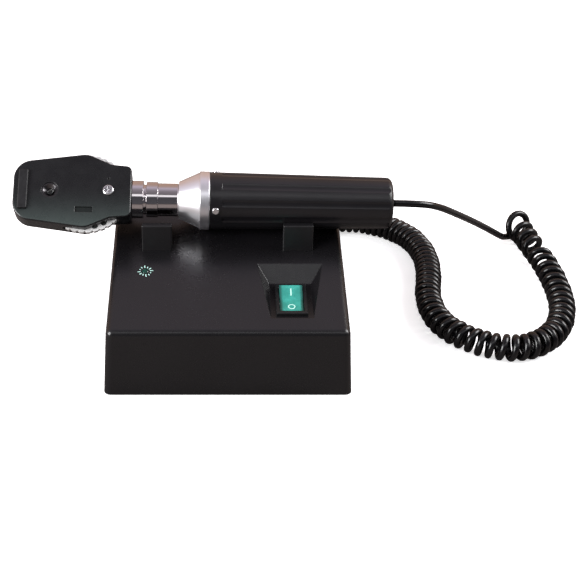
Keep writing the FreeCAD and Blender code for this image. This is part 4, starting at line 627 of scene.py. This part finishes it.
bar = np.array([(-1, -1), (1, -1), (1, 1), (-1, 1)]) * (BAR_WIDTH / 2, BAR_LENGTH / 2)
# Both marks are in the mint ink, with its painted glow.
rocker_marks = [flat_shapes("rocker_bar_mark", [bar], half_place(1), mint_ink_painted_glow),
                flat_shapes("rocker_ring_mark", ring_shapes(), half_place(-1), mint_ink_painted_glow)]
for mark in rocker_marks:
    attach(mark, "switch_rocker")
brass = plated_metal("brass", (0.66, 0.46, 0.20), 0.25, 900.0)
dress(rocker_plastic(joints["switch_rock"]["pos_m"][0]), "switch_rocker")
bezel_black = moulded_plastic("bezel_black", (0.006, 0.0065, 0.007), (0.009, 0.0095, 0.010),
                              0.30, 2200.0, 0.0004)
dress(bezel_black, "switch_housing")
dress(bare_steel, "switch_pin")
dress(brass, "switch_terminals")

# ======== mains inlet and fuse ========
# A two-pin inlet and a fuse holder with a bayonet cap, both in the base's back wall.
inlet_black = moulded_plastic("inlet_black", (0.008, 0.008, 0.009), (0.012, 0.012, 0.013),
                              0.42, 1700.0, 0.0004)
screw_plate = plated_metal("screw_plate", (0.80, 0.80, 0.82), 0.12, 1600.0)
dress(inlet_black, "mains_inlet", "fuse_holder", "fuse_cap")
dress(brass, "inlet_pins")
dress(screw_plate, "inlet_screws")

# ======== transformer and board ========
# A taped copper winding on a stack of iron sheets, held by a steel strap, and a small circuit
# board on standoffs. Both stand on the bottom plate inside the base.
BAND_UNEVEN = 0.5
TRACK_SCALE = 260.0
TRACK_GAP = 0.05


def banded(name, direction, scale, dark, light, metallic, rough, depth):
    """Fine even bands, as wound wire or stacked sheets show."""
    shader = Shader(name)
    wave = shader.add("ShaderNodeTexWave", bands_direction=direction)
    wave.inputs["Scale"].default_value = scale
    wave.inputs["Distortion"].default_value = BAND_UNEVEN
    shader.link(shader.where, wave.inputs["Vector"])
    shader.set(Base_Color=shader.mix(wave.outputs["Fac"], dark, light), Metallic=metallic, Roughness=rough)
    shader.relief(wave.outputs["Fac"], depth)
    return shader.material


def board_resist():
    """Green lacquer over copper tracks."""
    shader = Shader("board_resist")
    tracks = shader.add("ShaderNodeTexBrick")
    tracks.inputs["Scale"].default_value = TRACK_SCALE
    tracks.inputs["Mortar Size"].default_value = TRACK_GAP
    shader.link(shader.where, tracks.inputs["Vector"])
    shader.set(Base_Color=shader.mix(tracks.outputs["Fac"], (0.02, 0.12, 0.05), (0.05, 0.25, 0.10)))
    shader.set(Roughness=0.35)
    shader.relief(tracks.outputs["Fac"], 0.00005)
    return shader.material


dress(banded("wound_copper", "Z", 900.0, (0.30, 0.10, 0.04), (0.72, 0.32, 0.14), 0.8, 0.35, 0.0001),
      "transformer_winding")
dress(banded("iron_sheets", "Y", 320.0, (0.05, 0.045, 0.04), (0.16, 0.15, 0.14), 0.7, 0.5, 0.00008),
      "transformer_core")
dress(bare_steel, "transformer_clamp", "clamp_screws")
dress(board_resist(), "circuit_board")
dress(cream_moulding, "board_parts")

# ======== handset barrel ========
# A tapered black moulding with shallow flutes to grip, held to the metal end by small screws. The
# contacts for the lamp sit inside it.
barrel_black = moulded_plastic("barrel_black", (0.0048, 0.0044, 0.0054), (0.0072, 0.0064, 0.0078),
                               0.30, 3200.0, 0.0006)
dress(barrel_black, "barrel")
dress(screw_plate, "barrel_screws")
dress(brass, "contact_pin")
dress(bare_steel, "contact_spring", "terminal_screws")
dress(cream_moulding, "contact_carrier", "insulating_tube", "terminal_block")

# ======== cone and neck ========
# A satin aluminium cone screwed into the barrel. The chromed neck has a fixed sleeve, a lock ring
# that turns, a groove, and the head's own socket.
LATHE_MARK_WIDTH = 30.0


def turned_metal(name, colour, rough, lines, depth):
    """Metal with the fine rings that a lathe leaves round the handset's axis, and faint finger marks."""
    shader = Shader(name)
    rings = shader.noise(1.0, 2.0, 0.5, shader.stretched(lines, LATHE_MARK_WIDTH, LATHE_MARK_WIDTH))
    haze = shader.noise(70.0, 4.0, 0.6)
    dull = tuple(part * 0.85 for part in colour)
    shader.set(Base_Color=shader.mix(shader.span(haze, 0.0, 0.6), colour, dull), Metallic=1.0)
    shader.set(Roughness=shader.span(haze, rough, rough + 0.06, 0.3, 0.7))
    shader.relief(rings, depth, 0.0003)
    return shader.material


neck_chrome = turned_metal("neck_chrome", (0.66, 0.62, 0.63), 0.07, 2600.0, 0.000001)
dress(turned_metal("satin_aluminium", (0.93, 0.92, 0.96), 0.33, 9000.0, 0.000003), "adapter_cone")
dress(neck_chrome, "neck_sleeve", "lock_ring", "head_socket")

# ======== head covers ========
# Two black shells screwed together. Light falls on the front one's lower half, where a greyer, greenish
# sheen is painted into its colour as a painted reflection of that light.
FACE_OUT = Vector(joints["lens_disc_turn"]["axis"])
DISC_CENTRE = Vector(joints["lens_disc_turn"]["pos_m"])
FACE_UP = FACE_OUT.cross(handset_axis)
# Heights from the disc's middle where the painted sheen is full and where it is gone.
PAINTED_SHEEN_FULL = -0.0185
PAINTED_SHEEN_NONE = 0.0040
FACE_MATCH = (0.8, 0.99)
HEAD_BLACKS = [(0.0040, 0.0040, 0.0048), (0.0062, 0.0064, 0.0072)]
HEAD_PAINTED_SHEEN = (0.038, 0.050, 0.047)
WORN_HEAD = (0.035, 0.036, 0.037)
HEAD_EDGE = 0.0006


def head_plastic():
    """Black plastic with a fine grain and handling smears, whose lower face gets a greyer painted sheen."""
    shader = Shader("head_black")
    middle = DISC_CENTRE.dot(FACE_UP)
    # Painted sheen: a greyer, greenish colour mixed into the lower face, in place of a reflection.
    height = shader.towards(FACE_UP)
    painted_sheen = shader.span(height, 1.0, 0.0, middle + PAINTED_SHEEN_FULL, middle + PAINTED_SHEEN_NONE)
    facing = shader.add("ShaderNodeVectorMath", operation="DOT_PRODUCT")
    shader.link(shader.add("ShaderNodeNewGeometry").outputs["Normal"], facing.inputs[0])
    facing.inputs[1].default_value = tuple(FACE_OUT)
    on_face = shader.span(facing.outputs["Value"], 0.0, 1.0, *FACE_MATCH)
    painted_sheen = shader.maths("MULTIPLY", shader.maths("MULTIPLY", painted_sheen, painted_sheen), on_face)
    patches = shader.span(shader.noise(45.0, 4.0), 0.0, 1.0, 0.35, 0.7)
    colour = shader.mix(painted_sheen, shader.mix(patches, *HEAD_BLACKS), HEAD_PAINTED_SHEEN)
    worn = shader.maths("MULTIPLY", shader.edges(HEAD_EDGE), WEAR)
    shader.set(Base_Color=shader.mix(worn, colour, WORN_HEAD), Specular_IOR_Level=0.5)
    shader.set(Roughness=shader.span(shader.noise(150.0, 5.0, 0.65), 0.22, 0.34, 0.3, 0.7))
    shader.relief(shader.noise(2800.0, 2.0, 0.6), 0.000015, HEAD_EDGE)
    return shader.material


head_black = head_plastic()
dress(head_black, "front_cover", "rear_cover")
dress(bare_steel, "cover_screws", "disc_axle", "detent_spring", "wheel_axle")

# ======== face fittings ========
# The brow rest is a soft bar along the free end. A dark ring frames the sight hole, a chromed screw
# holds the covers, and a smoky window shows the lens disc's number.
dress(soft_rubber("brow_rubber", (0.0060, 0.0058, 0.0066), 0.40), "brow_rest")
dress(plated_metal("dark_ring", (0.12, 0.115, 0.12), 0.12, 1400.0), "eye_ring")
dress(screw_plate, "face_screw")
smoky_window = tinted_plastic("smoky_window", (0.006, 0.008, 0.008), (0.010, 0.013, 0.012), 0.12, 0.0)
dress(smoky_window, "dioptre_window")

# ======== lens disc ========
# A chromed disc with a scalloped edge that a finger turns. It carries a ring of small lenses, and
# its dial numbers are printed on its face, black for plus and red for minus.
NUMBER_COUNT = 24
NUMBER_RADIUS = 0.0103
NUMBER_SIZE = 0.0019
DISC_FACE = 0.0021
DISC_METALLIC = 0.45


def dial_numbers(name, values, material):
    """Numbers round the disc, each a flat text turned to its place, all in one mesh."""
    face = Matrix(place_along(DISC_CENTRE, handset_axis, FACE_OUT).tolist())
    face = face @ Matrix.Translation((0, 0, DISC_FACE + PRINT_LIFT))
    points = []
    faces = []
    for k, value in values:
        text = bpy.data.curves.new(f"{name}_{k}", "FONT")
        text.body = str(value)
        text.size = NUMBER_SIZE
        text.align_x = "CENTER"
        text.align_y = "CENTER"
        holder = bpy.data.objects.new(text.name, text)
        flat = bpy.data.meshes.new_from_object(holder)
        turn = Matrix.Rotation(-math.pi / 2 + 2 * math.pi * k / NUMBER_COUNT, 4, "Z")
        upright = Matrix.Translation((NUMBER_RADIUS, 0, 0)) @ Matrix.Rotation(math.pi / 2, 4, "Z")
        flat.transform(face @ turn @ upright)
        first = len(points)
        points += [tuple(vertex.co) for vertex in flat.vertices]
        faces += [[first + corner for corner in polygon.vertices] for polygon in flat.polygons]
        bpy.data.objects.remove(holder)
        bpy.data.curves.remove(text)
        bpy.data.meshes.remove(flat)
    piece = new_piece(name, points, faces, smooth=False)
    finish(piece, material)
    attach(piece, "lens_disc")


top_number = NUMBER_COUNT // 2
dial_numbers("dial_plus", [(k, k) for k in range(top_number + 1)],
             printed_ink("black_ink", (0.02, 0.02, 0.02), 0.0))
dial_numbers("dial_minus", [(k, NUMBER_COUNT - k) for k in range(top_number + 1, NUMBER_COUNT)],
             printed_ink("red_ink", (0.5, 0.03, 0.02), 0.0))
disc_plate = plated_metal("disc_plate", (0.90, 0.90, 0.89), 0.24, 1200.0)
disc_plate.node_tree.nodes["Principled BSDF"].inputs["Metallic"].default_value = DISC_METALLIC
dress(disc_plate, "lens_disc")

# ======== lamp and optics ========
# Light from the lamp passes the condenser and the filter wheel, and a mirror turns it out through
# the front window. The lamp has a brass base.
GLASS_TINT = (0.92, 0.97, 0.96)


def clear_glass(name):
    """Clear glass with a faint film of dust."""
    shader = Shader(name)
    film = shader.noise(300.0, 3.0)
    shader.set(Base_Color=GLASS_TINT, Transmission_Weight=0.95, IOR=1.5)
    shader.set(Roughness=shader.span(film, 0.01, 0.06, 0.4, 0.8))
    shader.relief(film, 0.000002)
    return shader.material


inner_black = moulded_plastic("inner_black", (0.012, 0.012, 0.012), (0.02, 0.02, 0.02), 0.6, 1500.0, 0.0003)
dress(clear_glass("optic_glass"), "disc_lenses", "lamp_glass", "condenser_lens", "patient_window")
dress(plated_metal("mirror_silver", (0.92, 0.92, 0.92), 0.02, 300.0), "mirror")
dress(inner_black, "filter_wheel", "condenser_tube", "mirror_block")
dress(brass, "lamp_base")

# ======== floor and studio light ========
# A plain white floor, a broad soft light from each side, and a soft room round them that is dark in
# front, bright along one strip above the camera, and warm behind. Reflections see the floor darker.
FLOOR_REACH = 40.0
FLOOR_MIRRORED = (0.20, 0.18, 0.17)
FLOOR_SEEN = (0.95, 0.95, 0.95)
FLOOR_GLOW = 0.62
ROOM = [(0.00, (0.10, 0.10, 0.11)), (0.25, (0.08, 0.08, 0.09)), (0.285, (1.5, 1.5, 1.55)),
        (0.32, (1.5, 1.5, 1.55)), (0.35, (0.20, 0.185, 0.20)), (0.50, (0.34, 0.31, 0.35)),
        (0.62, (0.66, 0.60, 0.71)), (0.76, (0.58, 0.42, 0.35)), (1.00, (0.60, 0.40, 0.31))]
SIDE_LIGHTS = [("left_light", (-0.95, -0.50, 0.50), 22.0), ("right_light", (1.05, 0.15, 0.85), 17.0)]
LIGHT_AIM = Vector((0.02, 0.03, 0.03))
LIGHT_SIZE = 0.7


def make_floor():
    """A level square that reaches the same distance each way from the origin."""
    corners = np.array([(-1, -1, 0), (1, -1, 0), (1, 1, 0), (-1, 1, 0)]) * FLOOR_REACH
    floor = new_piece("floor", corners, [[0, 1, 2, 3]], smooth=False)
    shader = Shader("floor_white")
    seen = shader.add("ShaderNodeLightPath").outputs["Is Camera Ray"]
    shader.set(Base_Color=shader.mix(seen, FLOOR_MIRRORED, FLOOR_SEEN))
    shader.set(Roughness=0.9, Specular_IOR_Level=0.0, Emission_Color=(1.0, 1.0, 1.0))
    shader.set(Emission_Strength=shader.maths("MULTIPLY", seen, FLOOR_GLOW))
    finish(floor, shader.material)


def make_room():
    """World colour by the direction's height above the front horizon, over the top to the back."""
    world = bpy.data.worlds.new("studio")
    bpy.context.scene.world = world
    world.use_nodes = True
    tree = world.node_tree
    direction = tree.nodes.new("ShaderNodeTexCoord")
    parts = tree.nodes.new("ShaderNodeSeparateXYZ")
    flip = tree.nodes.new("ShaderNodeMath")
    flip.operation = "MULTIPLY"
    flip.inputs[1].default_value = -1.0
    turn = tree.nodes.new("ShaderNodeMath")
    turn.operation = "ARCTAN2"
    share = tree.nodes.new("ShaderNodeMath")
    share.operation = "DIVIDE"
    share.inputs[1].default_value = math.pi
    ramp = tree.nodes.new("ShaderNodeValToRGB")
    while len(ramp.color_ramp.elements) < len(ROOM):
        ramp.color_ramp.elements.new(0.5)
    for element, (at, colour) in zip(ramp.color_ramp.elements, ROOM):
        element.position = at
        element.color = (*colour, 1.0)
    tree.links.new(direction.outputs["Generated"], parts.inputs[0])
    tree.links.new(parts.outputs["Y"], flip.inputs[0])
    tree.links.new(parts.outputs["Z"], turn.inputs[0])
    tree.links.new(flip.outputs[0], turn.inputs[1])
    tree.links.new(turn.outputs[0], share.inputs[0])
    tree.links.new(share.outputs[0], ramp.inputs["Fac"])
    tree.links.new(ramp.outputs["Color"], tree.nodes["Background"].inputs["Color"])


def make_side_light(name, place, power):
    """A square soft light at a place, turned towards the object."""
    data = bpy.data.lights.new(name, "AREA")
    data.size = LIGHT_SIZE
    data.energy = power
    light = bpy.data.objects.new(name, data)
    light.location = place
    light.rotation_euler = (LIGHT_AIM - Vector(place)).to_track_quat("-Z", "Y").to_euler()
    bpy.context.scene.collection.objects.link(light)


make_floor()
make_room()
for side_light in SIDE_LIGHTS:
    make_side_light(*side_light)
bpy.context.scene.view_settings.view_transform = "Standard"
